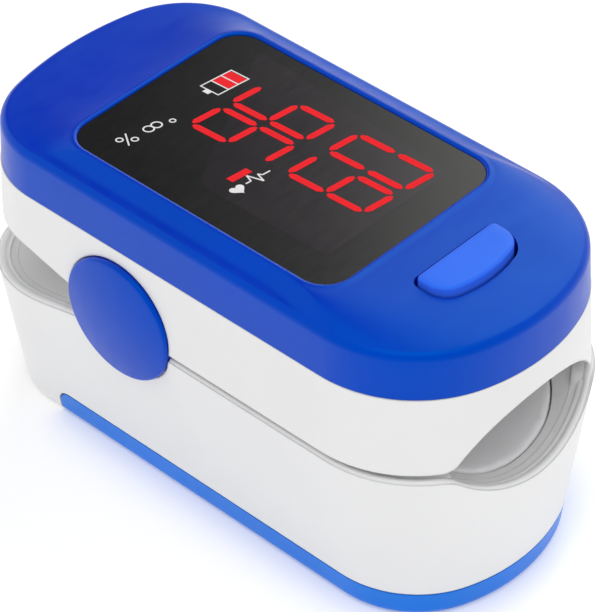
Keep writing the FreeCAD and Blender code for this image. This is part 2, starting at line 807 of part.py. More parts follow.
def add_window_plan(sketch, grow):
    """Plan shape of the screen window, grown all round."""
    add_outline(
        sketch, f"window_width / 2 + {grow}",
        f"window_back - window_length - {grow}", f"window_back + {grow}",
        f"window_corner + {grow}", "straight_bow",
        f"window_corner + {grow}", "straight_bow")


def add_button_plan(sketch, grow):
    """Plan shape of the button: straight towards the screen, bowed towards the front."""
    add_outline(
        sketch, f"button_width / 2 + {grow}", f"button_front - {grow}", f"button_back + {grow}",
        f"button_front_corner + {grow}", f"button_bow + {grow}",
        f"button_back_corner + {grow}", "straight_bow")


def make_top_cover():
    """Blue top cover: a short wall, a crease, and a roof that slopes up to the screen's lip."""
    body = new_body("top_cover")
    loft(body, "Additive", upper_outline(body, "cover_edge", "cover_line"),
         upper_outline(body, "cover_crease", "crease_height"))
    lip = new_sketch(body, "screen_lip", "XY_Plane", "lip_height")
    add_window_plan(lip, "lip_width")
    loft(body, "Additive", upper_outline(body, "roof_edge", "crease_height"), lip)
    loft(body, "Subtractive", upper_outline(body, "cover_hollow_low", "cover_line", "wall"),
         upper_outline(body, "cover_hollow_high", "roof_underside", "wall"))
    window = new_sketch(body, "window_seat", "XY_Plane", "lip_height")
    add_window_plan(window, "joint_gap")
    pocket(body, window, "lip_height - screen_height + window_depth + joint_gap")
    light_well = new_sketch(body, "light_well", "XY_Plane", "lip_height")
    add_window_plan(light_well, "-window_ledge")
    pocket(body, light_well, "lip_height - cover_line")
    button_hole = new_sketch(body, "button_hole", "XY_Plane", "lip_height")
    add_button_plan(button_hole, "button_gap")
    pocket(body, button_hole, "lip_height - cover_line")
    for index, (across, along) in enumerate(screw_places()):
        pad_round(body, f"boss_{index}", across, along, "post_radius",
                  f"{BOARD_TOP}", "crease_height - joint_gap")
        cut_round(body, f"boss_pilot_{index}", across, along, "screw_radius",
                  f"{BOARD_TOP}", "roof_underside")
    return body


def screw_places():
    """Across and along formulas of the four screws that close the upper half."""
    return [(across, along)
            for across in ("-upper_screw_side", "upper_screw_side")
            for along in ("upper_screw_front", "upper_screw_back")]


def make_window():
    """Smoked screen window, set just below the lip of the top cover."""
    body = new_body("display_window")
    plan = new_sketch(body, "window_plan", "XY_Plane", "screen_height - window_depth")
    add_window_plan(plan, "0")
    pad(body, plan, "window_depth")
    return body


def make_button():
    """Power button: a D-shaped cap with a flange that the top cover holds in."""
    body = new_body("power_button")
    top = new_sketch(body, "button_cap", "XY_Plane", "button_underside")
    add_button_plan(top, "0")
    pad(body, top, "button_height - button_underside")
    flange = new_sketch(body, "button_flange", "XY_Plane", "button_underside")
    add_button_plan(flange, "button_flange")
    pad(body, flange, "button_flange_depth")
    fillet(body, "button_round", lambda edge: lies_at_height(edge, size("button_height")))
    return body


def make_upper_tray():
    """Inner cover of the upper half: an arched roof over the finger that carries a pad."""
    body = new_body("upper_inner_cover")
    low = "rim_height + parting_gap + seat_gap"
    drawn_in = "upper_draft * (upper_tray_top - rim_height - parting_gap) + wall + seat_gap"
    plan = outline_at(body, "upper_tray_plan", low, drawn_in,
                      "upper_front_inset", "upper_rear_inset")
    pad(body, plan, f"upper_tray_top - ({low})")
    cut_upper_ramp(body, "2 * seat_gap")
    cut_trough(body, "upper_trough", f"{ARCH_CENTRE} + seat_gap", "arch_bow",
               "-body_length", "body_length + pad_back + seat_gap")
    seat = new_sketch(body, "upper_pad_seat", "XY_Plane", "arch_height + seat_drop")
    add_pad_plan(seat, "seat_gap / 2")
    pocket(body, seat, "arch_height")
    cut_round(body, "emitter_hole", "0", "sensor_back", "sensor_hole_radius",
              "0", "upper_tray_top")
    head_seat = "arch_height"
    for index, (across, along) in enumerate(screw_places()):
        cut_round(body, f"upper_head_{index}", across, along,
                  "screw_head_radius + running_clearance", "0", head_seat)
        cut_round(body, f"upper_shank_{index}", across, along,
                  "screw_radius + running_clearance", head_seat, "upper_tray_top")
    cut_hinge_slots(body, "upper_tray_top")
    cut_lead_slot(body, "upper_tray_top")
    hinge_discs(body, "upper_ear_relief", "ear_radius + seat_gap",
                "upper_ear_inner - seat_gap", "body_width", True)
    return body


def make_upper_pad():
    """Soft pad over the finger nail, with a round window for the light emitter."""
    body = new_body("upper_finger_pad")
    low = "rim_height + parting_gap + 2 * seat_gap"
    plan = new_sketch(body, "upper_pad_plan", "XY_Plane", low)
    add_pad_plan(plan, "-seat_gap / 2")
    pad(body, plan, f"arch_height + seat_drop - joint_gap - ({low})")
    cut_trough(body, "upper_pad_trough", f"{ARCH_CENTRE} - seat_drop / 2 + seat_gap", "arch_bow",
               "-body_length", "2 * body_length")
    cut_round(body, "upper_pad_window", "0", "sensor_back",
              "sensor_window_radius + joint_gap", "0", "upper_tray_top")
    return body


# ---------------------------------------------------------------- electronics

def make_main_board():
    """Main circuit board, shaped to the inside of the upper half."""
    body = new_body("main_board")
    drawn_in = "wall + board_gap + upper_draft * (roof_underside - rim_height - parting_gap)"
    plan = outline_at(body, "board_plan", "board_underside", drawn_in,
                      "upper_front_inset", "upper_rear_inset")
    pad(body, plan, "board_depth")
    for index, (across, along) in enumerate(screw_places()):
        cut_round(body, f"board_hole_{index}", across, along,
                  "screw_radius + running_clearance", "board_underside", BOARD_TOP)
    return body


def make_display_module():
    """Light-emitting digit module that stands on the main board under the window."""
    return block("led_display_module", "-module_width / 2", "module_width / 2",
                 "module_middle - module_length / 2", "module_middle + module_length / 2",
                 BOARD_TOP, MODULE_FACE)


def make_electronics():
    """The small parts on the main board and the sensor boards at the finger."""
    chip = block("microcontroller", "-chip_size / 2", "chip_size / 2",
                 "chip_back - chip_size", "chip_back",
                 "board_underside - chip_depth", "board_underside")
    middle = "(button_back + button_front) / 2"
    switch = block("tact_switch_body", "-switch_size / 2", "switch_size / 2",
                   f"{middle} - switch_size / 2", f"{middle} + switch_size / 2",
                   BOARD_TOP, f"{BOARD_TOP} + switch_depth")
    cut_round(switch, "switch_bore", "0", middle, "plunger_radius + running_clearance",
              BOARD_TOP, f"{BOARD_TOP} + switch_depth")
    plunger = disc("tact_switch_plunger", "0", middle, "plunger_radius",
                   f"{BOARD_TOP} + button_travel + joint_gap", "button_underside")
    board_low = "tray_underside - joint_gap - sensor_board_depth"
    sensor = "sensor_size / 2"
    detector_board = block(
        "detector_board", "-sensor_board_width / 2", "sensor_board_width / 2",
        "sensor_back - sensor_board_length / 2", "sensor_back + sensor_board_length / 2",
        board_low, "tray_underside - joint_gap")
    detector = block("light_detector", f"-{sensor}", sensor, f"sensor_back - {sensor}",
                     f"sensor_back + {sensor}", "tray_underside - joint_gap",
                     "dip_height - seat_drop")
    detector_window = disc("detector_window", "0", "sensor_back", "sensor_window_radius",
                           "dip_height - seat_drop + joint_gap",
                           "dip_height - seat_drop + joint_gap + sensor_window_depth")
    emitter_board = block(
        "emitter_board", "-sensor_board_width / 2", "sensor_board_width / 2",
        "sensor_back - sensor_board_length / 2", "sensor_back + sensor_board_length / 2",
        "upper_tray_top + joint_gap", "upper_tray_top + joint_gap + sensor_board_depth")
    emitter = block("light_emitter", f"-{sensor}", sensor, f"sensor_back - {sensor}",
                    f"sensor_back + {sensor}", "arch_height + seat_drop",
                    "upper_tray_top + joint_gap")
    emitter_window = disc("emitter_window", "0", "sensor_back", "sensor_window_radius",
                          "arch_height + seat_drop - joint_gap - sensor_window_depth",
                          "arch_height + seat_drop - joint_gap")
    return [chip, switch, plunger, detector_board, detector, detector_window,
            emitter_board, emitter, emitter_window]


def make_leads():
    """Flat sensor lead, in two lengths that meet on the hinge axis, and its socket."""
    half = "lead_width / 2"
    front = "hinge_back - lead_depth / 2"
    back = "hinge_back + lead_depth / 2"
    low = "tray_underside - joint_gap - sensor_board_depth"
    start = "sensor_back + sensor_board_length / 2"
    lower = new_body("sensor_lead_lower")
    profile = new_sketch(lower, "lead_bend", "YZ_Plane")
    add_polygon(profile, [
        (start, low), (back, low), (back, "hinge_height - seat_gap"),
        (front, "hinge_height - seat_gap"), (front, f"{low} + lead_depth"),
        (start, f"{low} + lead_depth")])
    pad(lower, profile, "lead_width", both_ways=True)
    socket_low = "upper_tray_top + joint_gap"
    upper = block("sensor_lead_upper", f"-{half}", half, front, back,
                  "hinge_height + seat_gap", socket_low)
    socket = block("lead_socket", f"-{half} - wall / 2", f"{half} + wall / 2",
                   "hinge_back - wall", "hinge_back + wall", socket_low, "board_underside")
    return [lower, upper, socket]


# ---------------------------------------------------------------- cells and contacts

def make_cell(label, across, front, nub_behind):
    """One small round cell lying along the body, with its raised end in front or behind."""
    body = new_body(label)
    case = new_sketch(body, label + "_case", "XZ_Plane", f"-({front} + cell_length)")
    add_circle(case, across, CELL_HEIGHT, "cell_radius")
    pad(body, case, "cell_length")
    fillet(body, "cell_nub_length / 2", lambda edge: edge.BoundBox.YLength < 1e-3)
    if nub_behind:
        station = f"-({front} + cell_length + cell_nub_length)"
    else:
        station = f"-({front})"
    nub = new_sketch(body, label + "_nub", "XZ_Plane", station)
    add_circle(nub, across, CELL_HEIGHT, "cell_nub_radius")
    pad(body, nub, "cell_nub_length")
    return body


def cell_facts():
    """For each cell: name, side, front station, and whether its raised end is behind."""
    return [("battery_left", f"-({CELL_SIDE})", "cell_front", True),
            ("battery_right", CELL_SIDE, "cell_front - cell_nub_length / 2", False)]


def make_contact_plate(label, across, station, dimple):
    """Flat end contact; the raised kind reaches forward to a cell's raised end."""
    body = new_body(label)
    plate = new_sketch(body, label + "_plate", "XZ_Plane", f"-({station})")
    add_rectangle(plate, f"{across} - contact_size / 2", f"{across} + contact_size / 2",
                  f"{CELL_HEIGHT} - contact_size / 2", f"{CELL_HEIGHT} + contact_size / 2")
    pad(body, plate, "contact_depth")
    if dimple:
        low, high = dimple
        raised = new_sketch(body, label + "_dimple", "XZ_Plane", f"-({high})")
        add_circle(raised, across, CELL_HEIGHT, "dimple_radius")
        pad(body, raised, f"({high}) - ({low})")
    return body


def wire_along(path, wire):
    """A round wire in short straight runs along a path, with mitred joints."""
    along = (path[1] - path[0]).normalize()
    profile = Part.Wire([Part.Circle(path[0], along, wire).toShape()])
    return Part.makePolygon(path).makePipeShell([profile], True, False, MITRED)


def coil_points(radius_low, radius_high, length, turns):
    """Points of a coil that climbs +Z from the origin, straight or conical."""
    steps = round(turns * POINTS_PER_TURN)
    points = []
    for step in range(steps + 1):
        share = step / steps
        radius = radius_low + (radius_high - radius_low) * share
        angle = 2 * math.pi * turns * share
        points.append(FreeCAD.Vector(radius * math.cos(angle), radius * math.sin(angle),
                                     length * share))
    return points


def feature(label, shape, place):
    """A part whose shape is worked out here, put in its place afterwards."""
    part = doc.addObject("Part::Feature", label)
    part.Label = label
    part.Shape = shape
    part.Placement = place
    return part


def contact_springs():
    """One conical spring behind the flat end of each cell."""
    wire = size("contact_wire")
    wide = size("contact_spring_radius")
    narrow = size("contact_spring_tip")
    turns = size("contact_spring_turns")
    springs = []
    for label, across, front, nub_behind in cell_facts():
        cell_end = size(front) if nub_behind else size(f"{front} + cell_length")
        away = -1 if nub_behind else 1
        length = contact_room()[0 if nub_behind else 1] - 2 * wire
        shape = wire_along(coil_points(wide, narrow, length, turns), wire)
        side = label.replace("battery", "contact_spring")
        start = cell_end + away * (length + wire)
        turn = FreeCAD.Rotation(FreeCAD.Vector(1, 0, 0), -90 if nub_behind else 90)
        place = FreeCAD.Placement(
            FreeCAD.Vector(size(across), start, size(CELL_HEIGHT)), turn)
        springs.append(feature(side, shape, place))
    return springs


FRONT_PLATE = "cell_front - contact_spring_radius + contact_wire"
REAR_PLATE = "cell_front + cell_length + cell_nub_length"


def contact_room():
    """Length left for a spring in front of the left cell and behind the right cell."""
    front = size("cell_front") - size(FRONT_PLATE)
    rear = size(REAR_PLATE) - size("cell_front - cell_nub_length / 2 + cell_length")
    return front, rear


def make_contacts():
    """Plates at both ends of both cells."""
    left = f"(-({CELL_SIDE}))"
    right = f"({CELL_SIDE})"
    nub_tip = "cell_front - cell_nub_length / 2 - cell_nub_length"
    return [
        make_contact_plate("contact_plate_front_left", left, FRONT_PLATE, None),
        make_contact_plate("contact_plate_front_right", right, FRONT_PLATE,
                           (FRONT_PLATE, nub_tip)),
        make_contact_plate("contact_plate_rear_left", left, f"{REAR_PLATE} + contact_depth", None),
        make_contact_plate("contact_plate_rear_right", right, f"{REAR_PLATE} + contact_depth", None),
    ]


# ---------------------------------------------------------------- hinge and screws

def make_hinge_cap(label, sign):
    """Domed blue cap with the stud that the upper half turns on."""
    body = new_body(label)
    profile = new_sketch(body, label + "_profile", "XZ_Plane", "0")
    stud_foot = "stud_end - cap_seat"
    add_polygon(profile, [
        ("0", stud_foot), ("stud_radius", stud_foot), ("stud_radius", "0"),
        ("cap_radius", "0"), ("cap_radius", "cap_edge"), ("0", "cap_edge")])
    turned = body.newObject("PartDesign::Revolution", label + "_turned")
    turned.Profile = profile
    turned.ReferenceAxis = (profile, ["V_Axis"])
    turned.Angle = 360
    doc.recompute()
    rim = size("cap_radius")
    rise = size("cap_dome")
    ball = (rim ** 2 + rise ** 2) / (2 * rise)
    dome = new_sketch(body, label + "_dome", "XZ_Plane", "0")
    edge_height = size("cap_edge")
    vector = FreeCAD.Vector
    slope = math.asin(rim / ball) / 2
    middle = vector(ball * math.sin(slope), edge_height + rise - ball * (1 - math.cos(slope)), 0)
    arc = dome.addGeometry(Part.Arc(vector(rim, edge_height, 0), middle,
                                    vector(0, edge_height + rise, 0)), False)
    axis = dome.addGeometry(Part.LineSegment(vector(0, edge_height + rise, 0),
                                             vector(0, edge_height, 0)), False)
    base = dome.addGeometry(Part.LineSegment(vector(0, edge_height, 0),
                                             vector(rim, edge_height, 0)), False)
    for first, second in ((arc, axis), (axis, base), (base, arc)):
        near = min(((a, b) for a in (1, 2) for b in (1, 2)),
                   key=lambda pair: (dome.getPoint(first, pair[0])
                                     - dome.getPoint(second, pair[1])).Length)
        dome.addConstraint(Sketcher.Constraint("Coincident", first, near[0], second, near[1]))
    fix_distance(dome, "DistanceX", base, 1, "0")
    fix_distance(dome, "DistanceY", base, 1, "cap_edge")
    fix_distance(dome, "DistanceX", base, 2, "cap_radius")
    fix_distance(dome, "DistanceY", base, 2, "cap_edge")
    fix_distance(dome, "DistanceX", axis, 1, "0")
    fix_distance(dome, "DistanceY", axis, 1, "cap_edge + cap_dome")
    fix_radius(dome, arc, "(cap_radius * cap_radius + cap_dome * cap_dome) / (2 * cap_dome)")
    domed = body.newObject("PartDesign::Revolution", label + "_domed")
    domed.Profile = dome
    domed.ReferenceAxis = (dome, ["V_Axis"])
    domed.Angle = 360
    doc.recompute()
    turn = FreeCAD.Rotation(FreeCAD.Vector(0, 1, 0), 90 * sign)
    body.Placement = FreeCAD.Placement(FreeCAD.Vector(0, 0, 0), turn)
    body.setExpression("Placement.Base.x", bound(f"{sign} * cap_seat"))
    body.setExpression("Placement.Base.y", bound("hinge_back"))
    body.setExpression("Placement.Base.z", bound("hinge_height"))
    return body


def make_hinge_spring(label, sign):
    """Torsion spring round the hinge stud, with one leg for each half of the clip."""
    wire = size("hinge_spring_wire")
    radius = size("hinge_spring_radius")
    turns = size("hinge_spring_turns")
    leg = size("hinge_spring_leg")
    room = size("lower_ear_inner - stud_end - 4 * joint_gap") - 2 * wire
    length = room / (1 + leg / (math.pi * radius * turns))
    pitch = length / turns
    along = FreeCAD.Vector(0, 2 * math.pi * radius, pitch).normalize()
    coil = coil_points(radius, radius, length, turns)
    shape = wire_along([coil[0] - along * leg, *coil, coil[-1] + along * leg], wire)
    turn = FreeCAD.Rotation(FreeCAD.Vector(0, 1, 0), 90 * sign)
    start = size("stud_end + 2 * joint_gap") + wire + (room - length) / 2
    place = FreeCAD.Placement(
        FreeCAD.Vector(sign * start, size("hinge_back"), size("hinge_height")), turn)
    return feature(label, shape, place)


def make_screw(name, across, along, head_low, tip):
    """One pan screw standing head down, as a fused head and shank."""
    head = doc.addObject("Part::Cylinder", name + "_head")
    head.setExpression("Radius", bound("screw_head_radius"))
    head.setExpression("Height", bound("screw_head_depth"))
    shank = doc.addObject("Part::Cylinder", name + "_shank")
    shank.setExpression("Radius", bound("screw_radius"))
    shank.setExpression("Height", bound(f"({tip}) - ({head_low})"))
    recess = doc.addObject("Part::Cylinder", name + "_recess")
    recess.setExpression("Radius", bound("screw_recess_radius"))
    recess.setExpression("Height", bound("screw_head_depth / 2"))
    for part in (head, shank, recess):
        part.setExpression("Placement.Base.x", bound(across))
        part.setExpression("Placement.Base.y", bound(along))
        part.setExpression("Placement.Base.z", bound(head_low))
    whole = doc.addObject("Part::Fuse", name + "_blank")
    whole.Base = head
    whole.Tool = shank
    screw = doc.addObject("Part::Cut", name)
    screw.Base = whole
    screw.Tool = recess
    return screw


def group(label, members):
    """Identical fasteners kept together as one sub-part of separate solids."""
    compound = doc.addObject("Part::Compound", label)
    compound.Label = label
    compound.Links = members
    return compound


def make_screws():
    """Four screws through the upper tray and two through the lower shell."""
    upper = [make_screw(f"upper_screw_{index}", across, along,
                        "arch_height - screw_head_depth", "roof_underside - wall / 2")
             for index, (across, along) in enumerate(screw_places())]
    lower = [make_screw("lower_screw_rear", "0", "lower_screw_back", "0",
                        "tray_underside - wall"),
             make_screw("lower_screw_front", "0", "lower_screw_front",
                        "front_head_height", "tray_underside - wall")]
    return [group("upper_screws", upper), group("lower_screws", lower)]


# ---------------------------------------------------------------- build and write

def make_all():
    parts = [make_lower_shell(), make_battery_cover(), make_tray(), make_lower_pad(),
             make_upper_shell(), make_top_cover(), make_window(), make_button(),
             make_upper_tray(), make_upper_pad(), make_main_board(), make_display_module()]
    parts += make_electronics()
    parts += make_leads()
    parts += [make_cell(*facts) for facts in cell_facts()]
    parts += contact_springs()
    parts += make_contacts()
    for side, sign in (("left", -1), ("right", 1)):
        parts.append(make_hinge_cap(f"hinge_cap_{side}", sign))
        parts.append(make_hinge_spring(f"hinge_spring_{side}", sign))
    parts += make_screws()
    return parts


def check_document():
    """Stop if any object failed to recompute."""
    for item in doc.Objects:
        if "Invalid" in item.State or "Error" in item.State:
            raise ValueError(f"{item.Label} did not recompute: {item.State}")


def write_parts(parts):
    os.makedirs("parts", exist_ok=True)
    for part in parts:
        shape = part.Shape
        if shape.isNull() or not shape.isValid() or shape.Volume <= 0:
            raise ValueError(f"{part.Label} has no valid shape")
        shape.exportStep(f"parts/{part.Label}.step")


sub_parts = make_all()
doc.recompute()
check_document()
write_parts(sub_parts)
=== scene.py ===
"""Looks of the fingertip pulse oximeter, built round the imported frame. Metres throughout.

Sections: mesh helpers, materials, sizes of the upper half, top cover and button, screen
marks, hinge caps, rim of the lower half, finger pads, then floor, light and camera.
"""

import json
import math

import bpy
from mathutils import Matrix, Vector
from mathutils.bvhtree import BVHTree


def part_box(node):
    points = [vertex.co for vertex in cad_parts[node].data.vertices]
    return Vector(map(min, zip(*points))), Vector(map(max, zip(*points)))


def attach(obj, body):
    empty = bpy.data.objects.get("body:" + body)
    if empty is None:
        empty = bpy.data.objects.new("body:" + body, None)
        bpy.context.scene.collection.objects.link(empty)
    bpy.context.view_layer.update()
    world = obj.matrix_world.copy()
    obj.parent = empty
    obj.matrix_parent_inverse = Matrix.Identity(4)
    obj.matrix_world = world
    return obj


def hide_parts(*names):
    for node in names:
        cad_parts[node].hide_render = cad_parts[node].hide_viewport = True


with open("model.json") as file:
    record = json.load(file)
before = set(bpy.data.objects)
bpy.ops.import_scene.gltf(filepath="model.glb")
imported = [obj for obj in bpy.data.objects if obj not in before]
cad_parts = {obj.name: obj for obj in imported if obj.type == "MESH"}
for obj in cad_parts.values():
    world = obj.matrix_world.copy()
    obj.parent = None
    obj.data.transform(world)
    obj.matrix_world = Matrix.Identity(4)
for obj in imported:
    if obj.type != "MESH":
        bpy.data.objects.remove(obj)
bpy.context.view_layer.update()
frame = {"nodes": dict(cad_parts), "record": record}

MM = 0.001


# ---------------------------------------------------------------- mesh helpers

def new_piece(name, vertices, faces, material, smooth=True):
    """A mesh piece with one material."""
    mesh = bpy.data.meshes.new(name)
    mesh.from_pydata([tuple(vertex) for vertex in vertices], [], faces)
    mesh.update()
    piece = bpy.data.objects.new(name, mesh)
    bpy.context.scene.collection.objects.link(piece)
    mesh.materials.append(material)
    for polygon in mesh.polygons:
        polygon.use_smooth = smooth
    return piece


def arc_points(centre, radius, start, end, count):
    """Points along an arc, angles in radians, without its last point."""
    points = []
    for step in range(count):
        angle = start + (end - start) * step / count
        points.append((centre[0] + radius * math.cos(angle),
                       centre[1] + radius * math.sin(angle)))
    return points


def plan_outline(half_width, front, back, front_corner, front_bow, back_corner, back_bow,
                 per_corner=24, per_bow=24, per_side=24):
    """The rounded plan shape, anticlockwise from the middle of the right side."""
    quarters = []
    for end, corner, bow, sign in ((back, back_corner, back_bow, 1),
                                   (front, front_corner, front_bow, -1)):
        side = half_width - corner
        rise = math.sqrt((bow - corner) ** 2 - side ** 2)
        corner_y = end - sign * (bow - rise)
        turn = math.atan2(rise, side)
        quarters.append((corner, bow, side, end - sign * bow, corner_y, turn))
    corner, bow, side, bow_y, corner_y, turn = quarters[0]
    corner_f, bow_f, side_f, bow_y_f, corner_y_f, turn_f = quarters[1]
    points = []
    for step in range(per_side):
        share = step / per_side
        points.append((half_width, corner_y_f + (corner_y - corner_y_f) * share))
    points += arc_points((side, corner_y), corner, 0, turn, per_corner)
    points += arc_points((0, bow_y), bow, turn, math.pi - turn, per_bow)
    points += arc_points((-side, corner_y), corner, math.pi - turn, math.pi, per_corner)
    for step in range(per_side):
        share = step / per_side
        points.append((-half_width, corner_y + (corner_y_f - corner_y) * share))
    points += arc_points((-side_f, corner_y_f), corner_f, math.pi, math.pi + turn_f, per_corner)
    points += arc_points((0, bow_y_f), bow_f, math.pi + turn_f, 2 * math.pi - turn_f, per_bow)
    points += arc_points((side_f, corner_y_f), corner_f, 2 * math.pi - turn_f, 2 * math.pi,
                         per_corner)
    return points


def between(first, second, share):
    """An outline part of the way from one outline to another."""
    return [(a[0] + (b[0] - a[0]) * share, a[1] + (b[1] - a[1]) * share)
            for a, b in zip(first, second)]


def level(points, height):
    """An outline in millimetres lifted to a height, as vertices in metres."""
    return [Vector((x, y, height)) * MM for x, y in points]


def bridge(rings, closed=False):
    """Vertices and quads of a skin over rings of equal count; closed joins last to first."""
    count = len(rings[0])
    vertices = [vertex for ring in rings for vertex in ring]
    faces = []
    spans = len(rings) if closed else len(rings) - 1
    for span in range(spans):
        low = span * count
        high = (span + 1) % len(rings) * count
        for step in range(count):
            following = (step + 1) % count
            faces.append((low + step, low + following, high + following, high + step))
    return vertices, faces


def capped(rings):
    """A skin over rings, closed at both ends by a fan round the middle of the end ring."""
    vertices, faces = bridge(rings)
    count = len(rings[0])
    for ring, start, flip in ((rings[0], 0, True), (rings[-1], (len(rings) - 1) * count, False)):
        middle = sum(ring, Vector()) / count
        vertices.append(middle)
        centre = len(vertices) - 1
        for step in range(count):
            following = (step + 1) % count
            pair = (start + following, start + step) if flip else (start + step, start + following)
            faces.append((*pair, centre))
    return vertices, faces


# ---------------------------------------------------------------- materials

def node_material(name):
    """An empty node material with its Principled shader and an object-space coordinate."""
    material = bpy.data.materials.new(name)
    material.use_nodes = True
    tree = material.node_tree
    shader = tree.nodes["Principled BSDF"]
    place = tree.nodes.new("ShaderNodeTexCoord")
    return material, tree, shader, place.outputs["Object"]


def noise(tree, place, scale, detail=2.0, stretch=None):
    """Fractal noise over the piece; scale is in cells per metre."""
    texture = tree.nodes.new("ShaderNodeTexNoise")
    texture.inputs["Scale"].default_value = scale
    texture.inputs["Detail"].default_value = detail
    if stretch is None:
        tree.links.new(place, texture.inputs["Vector"])
        return texture.outputs["Fac"]
    mapping = tree.nodes.new("ShaderNodeMapping")
    mapping.inputs["Scale"].default_value = stretch
    tree.links.new(place, mapping.inputs["Vector"])
    tree.links.new(mapping.outputs["Vector"], texture.inputs["Vector"])
    return texture.outputs["Fac"]


def ramp(tree, factor, low, high, start=0.3, end=0.7):
    """A factor turned into a colour between two colours."""
    node = tree.nodes.new("ShaderNodeValToRGB")
    node.color_ramp.elements[0].position = start
    node.color_ramp.elements[1].position = end
    node.color_ramp.elements[0].color = (*low, 1)
    node.color_ramp.elements[1].color = (*high, 1)
    tree.links.new(factor, node.inputs["Fac"])
    return node.outputs["Color"]


def spread(tree, factor, low, high):
    """A factor from 0 to 1 stretched between two plain values."""
    node = tree.nodes.new("ShaderNodeMapRange")
    node.inputs["From Min"].default_value = 0.3
    node.inputs["From Max"].default_value = 0.7
    node.inputs["To Min"].default_value = low
    node.inputs["To Max"].default_value = high
    tree.links.new(factor, node.inputs["Value"])
    return node.outputs["Result"]


def bump(tree, shader, height, distance, soft_edge=0.0):
    """Raise a surface by a height; soft_edge rounds the shading of sharp moulded edges."""
    node = tree.nodes.new("ShaderNodeBump")
    node.inputs["Distance"].default_value = distance
    if soft_edge:
        bevel = tree.nodes.new("ShaderNodeBevel")
        bevel.inputs["Radius"].default_value = soft_edge
        tree.links.new(bevel.outputs["Normal"], node.inputs["Normal"])
    tree.links.new(height, node.inputs["Height"])
    tree.links.new(node.outputs["Normal"], shader.inputs["Normal"])


def shade(colour, share):
    return tuple(channel * share for channel in colour)


def moulded(name, colour, roughness, grain=900, depth=0.004, tint=(1, 1, 1), specular=0.5,
            cloudy=0.045, soft_edge=0.0):
    """Moulded plastic: faint cloudiness, fine tool grain and an uneven satin gloss."""
    material, tree, shader, place = node_material(name)
    cloud = noise(tree, place, 90, 3)
    tree.links.new(ramp(tree, cloud, shade(colour, 1 - cloudy), shade(colour, 1 + cloudy)),
                   shader.inputs["Base Color"])
    smear = noise(tree, place, 260, 4, (1, 2.5, 1))
    tree.links.new(spread(tree, smear, roughness - 0.04, roughness + 0.05),
                   shader.inputs["Roughness"])
    bump(tree, shader, noise(tree, place, grain, 2), depth * MM, soft_edge * MM)
    shader.inputs["Specular Tint"].default_value = (*tint, 1)
    shader.inputs["Specular IOR Level"].default_value = specular
    return material


def silicone(name, colour):
    """Soft matte silicone: velvety, with a fine stipple."""
    material, tree, shader, place = node_material(name)
    cloud = noise(tree, place, 120, 3)
    tree.links.new(ramp(tree, cloud, shade(colour, 0.93), shade(colour, 1.05)),
                   shader.inputs["Base Color"])
    fine = noise(tree, place, 2600, 3)
    tree.links.new(spread(tree, fine, 0.55, 0.7), shader.inputs["Roughness"])
    bump(tree, shader, fine, 0.02 * MM)
    shader.inputs["Sheen Weight"].default_value = 0.25
    shader.inputs["Sheen Roughness"].default_value = 0.45
    return material


def metal(name, colour, roughness, streaks=(1, 1, 30)):
    """Plated or brushed metal with fine streaks."""
    material, tree, shader, place = node_material(name)
    streak = noise(tree, place, 700, 4, streaks)
    tree.links.new(ramp(tree, streak, shade(colour, 0.88), colour), shader.inputs["Base Color"])
    tree.links.new(spread(tree, streak, roughness - 0.06, roughness + 0.08),
                   shader.inputs["Roughness"])
    bump(tree, shader, streak, 0.004 * MM)
    shader.inputs["Metallic"].default_value = 1.0
    return material


def circuit_board(name):
    """Green solder mask with faint copper tracks under it."""
    material, tree, shader, place = node_material(name)
    tracks = tree.nodes.new("ShaderNodeTexBrick")
    tracks.inputs["Scale"].default_value = 260
    tracks.inputs["Mortar Size"].default_value = 0.03
    tracks.inputs["Color1"].default_value = (0.012, 0.11, 0.045, 1)
    tracks.inputs["Color2"].default_value = (0.015, 0.13, 0.05, 1)
    tracks.inputs["Mortar"].default_value = (0.05, 0.24, 0.09, 1)
    tree.links.new(place, tracks.inputs["Vector"])
    tree.links.new(tracks.outputs["Color"], shader.inputs["Base Color"])
    bump(tree, shader, tracks.outputs["Fac"], 0.02 * MM)
    tree.links.new(spread(tree, noise(tree, place, 400), 0.28, 0.42), shader.inputs["Roughness"])
    return material


def lit(name, colour, strength):
    """A lit mark: its own colour at a steady glow, a little uneven across its face."""
    material, tree, shader, place = node_material(name)
    glow = ramp(tree, noise(tree, place, 1500, 2), shade(colour, 0.9), colour)
    tree.links.new(glow, shader.inputs["Emission Color"])
    shader.inputs["Base Color"].default_value = (0.01, 0.01, 0.01, 1)
    shader.inputs["Emission Strength"].default_value = strength
    shader.inputs["Roughness"].default_value = 0.6
    shader.inputs["Specular IOR Level"].default_value = 0.1
    return material


def smoked_window(name):
    """Glossy smoked acrylic with faint polishing haze."""
    material, tree, shader, place = node_material(name)
    haze = noise(tree, place, 140, 4)
    tree.links.new(ramp(tree, haze, (0.006, 0.006, 0.0065), (0.009, 0.009, 0.0095)),
                   shader.inputs["Base Color"])
    tree.links.new(spread(tree, noise(tree, place, 500, 5, (1, 4, 1)), 0.09, 0.15),
                   shader.inputs["Roughness"])
    bump(tree, shader, noise(tree, place, 150, 2), 0.0015 * MM)
    return material


def clear_window(name):
    """Small clear polycarbonate lens."""
    material, tree, shader, place = node_material(name)
    haze = noise(tree, place, 300, 3)
    tree.links.new(ramp(tree, haze, (0.80, 0.83, 0.88), (0.88, 0.90, 0.95)),
                   shader.inputs["Base Color"])
    tree.links.new(spread(tree, haze, 0.05, 0.12), shader.inputs["Roughness"])
    bump(tree, shader, haze, 0.002 * MM)
    shader.inputs["Transmission Weight"].default_value = 0.7
    shader.inputs["IOR"].default_value = 1.58
    return material


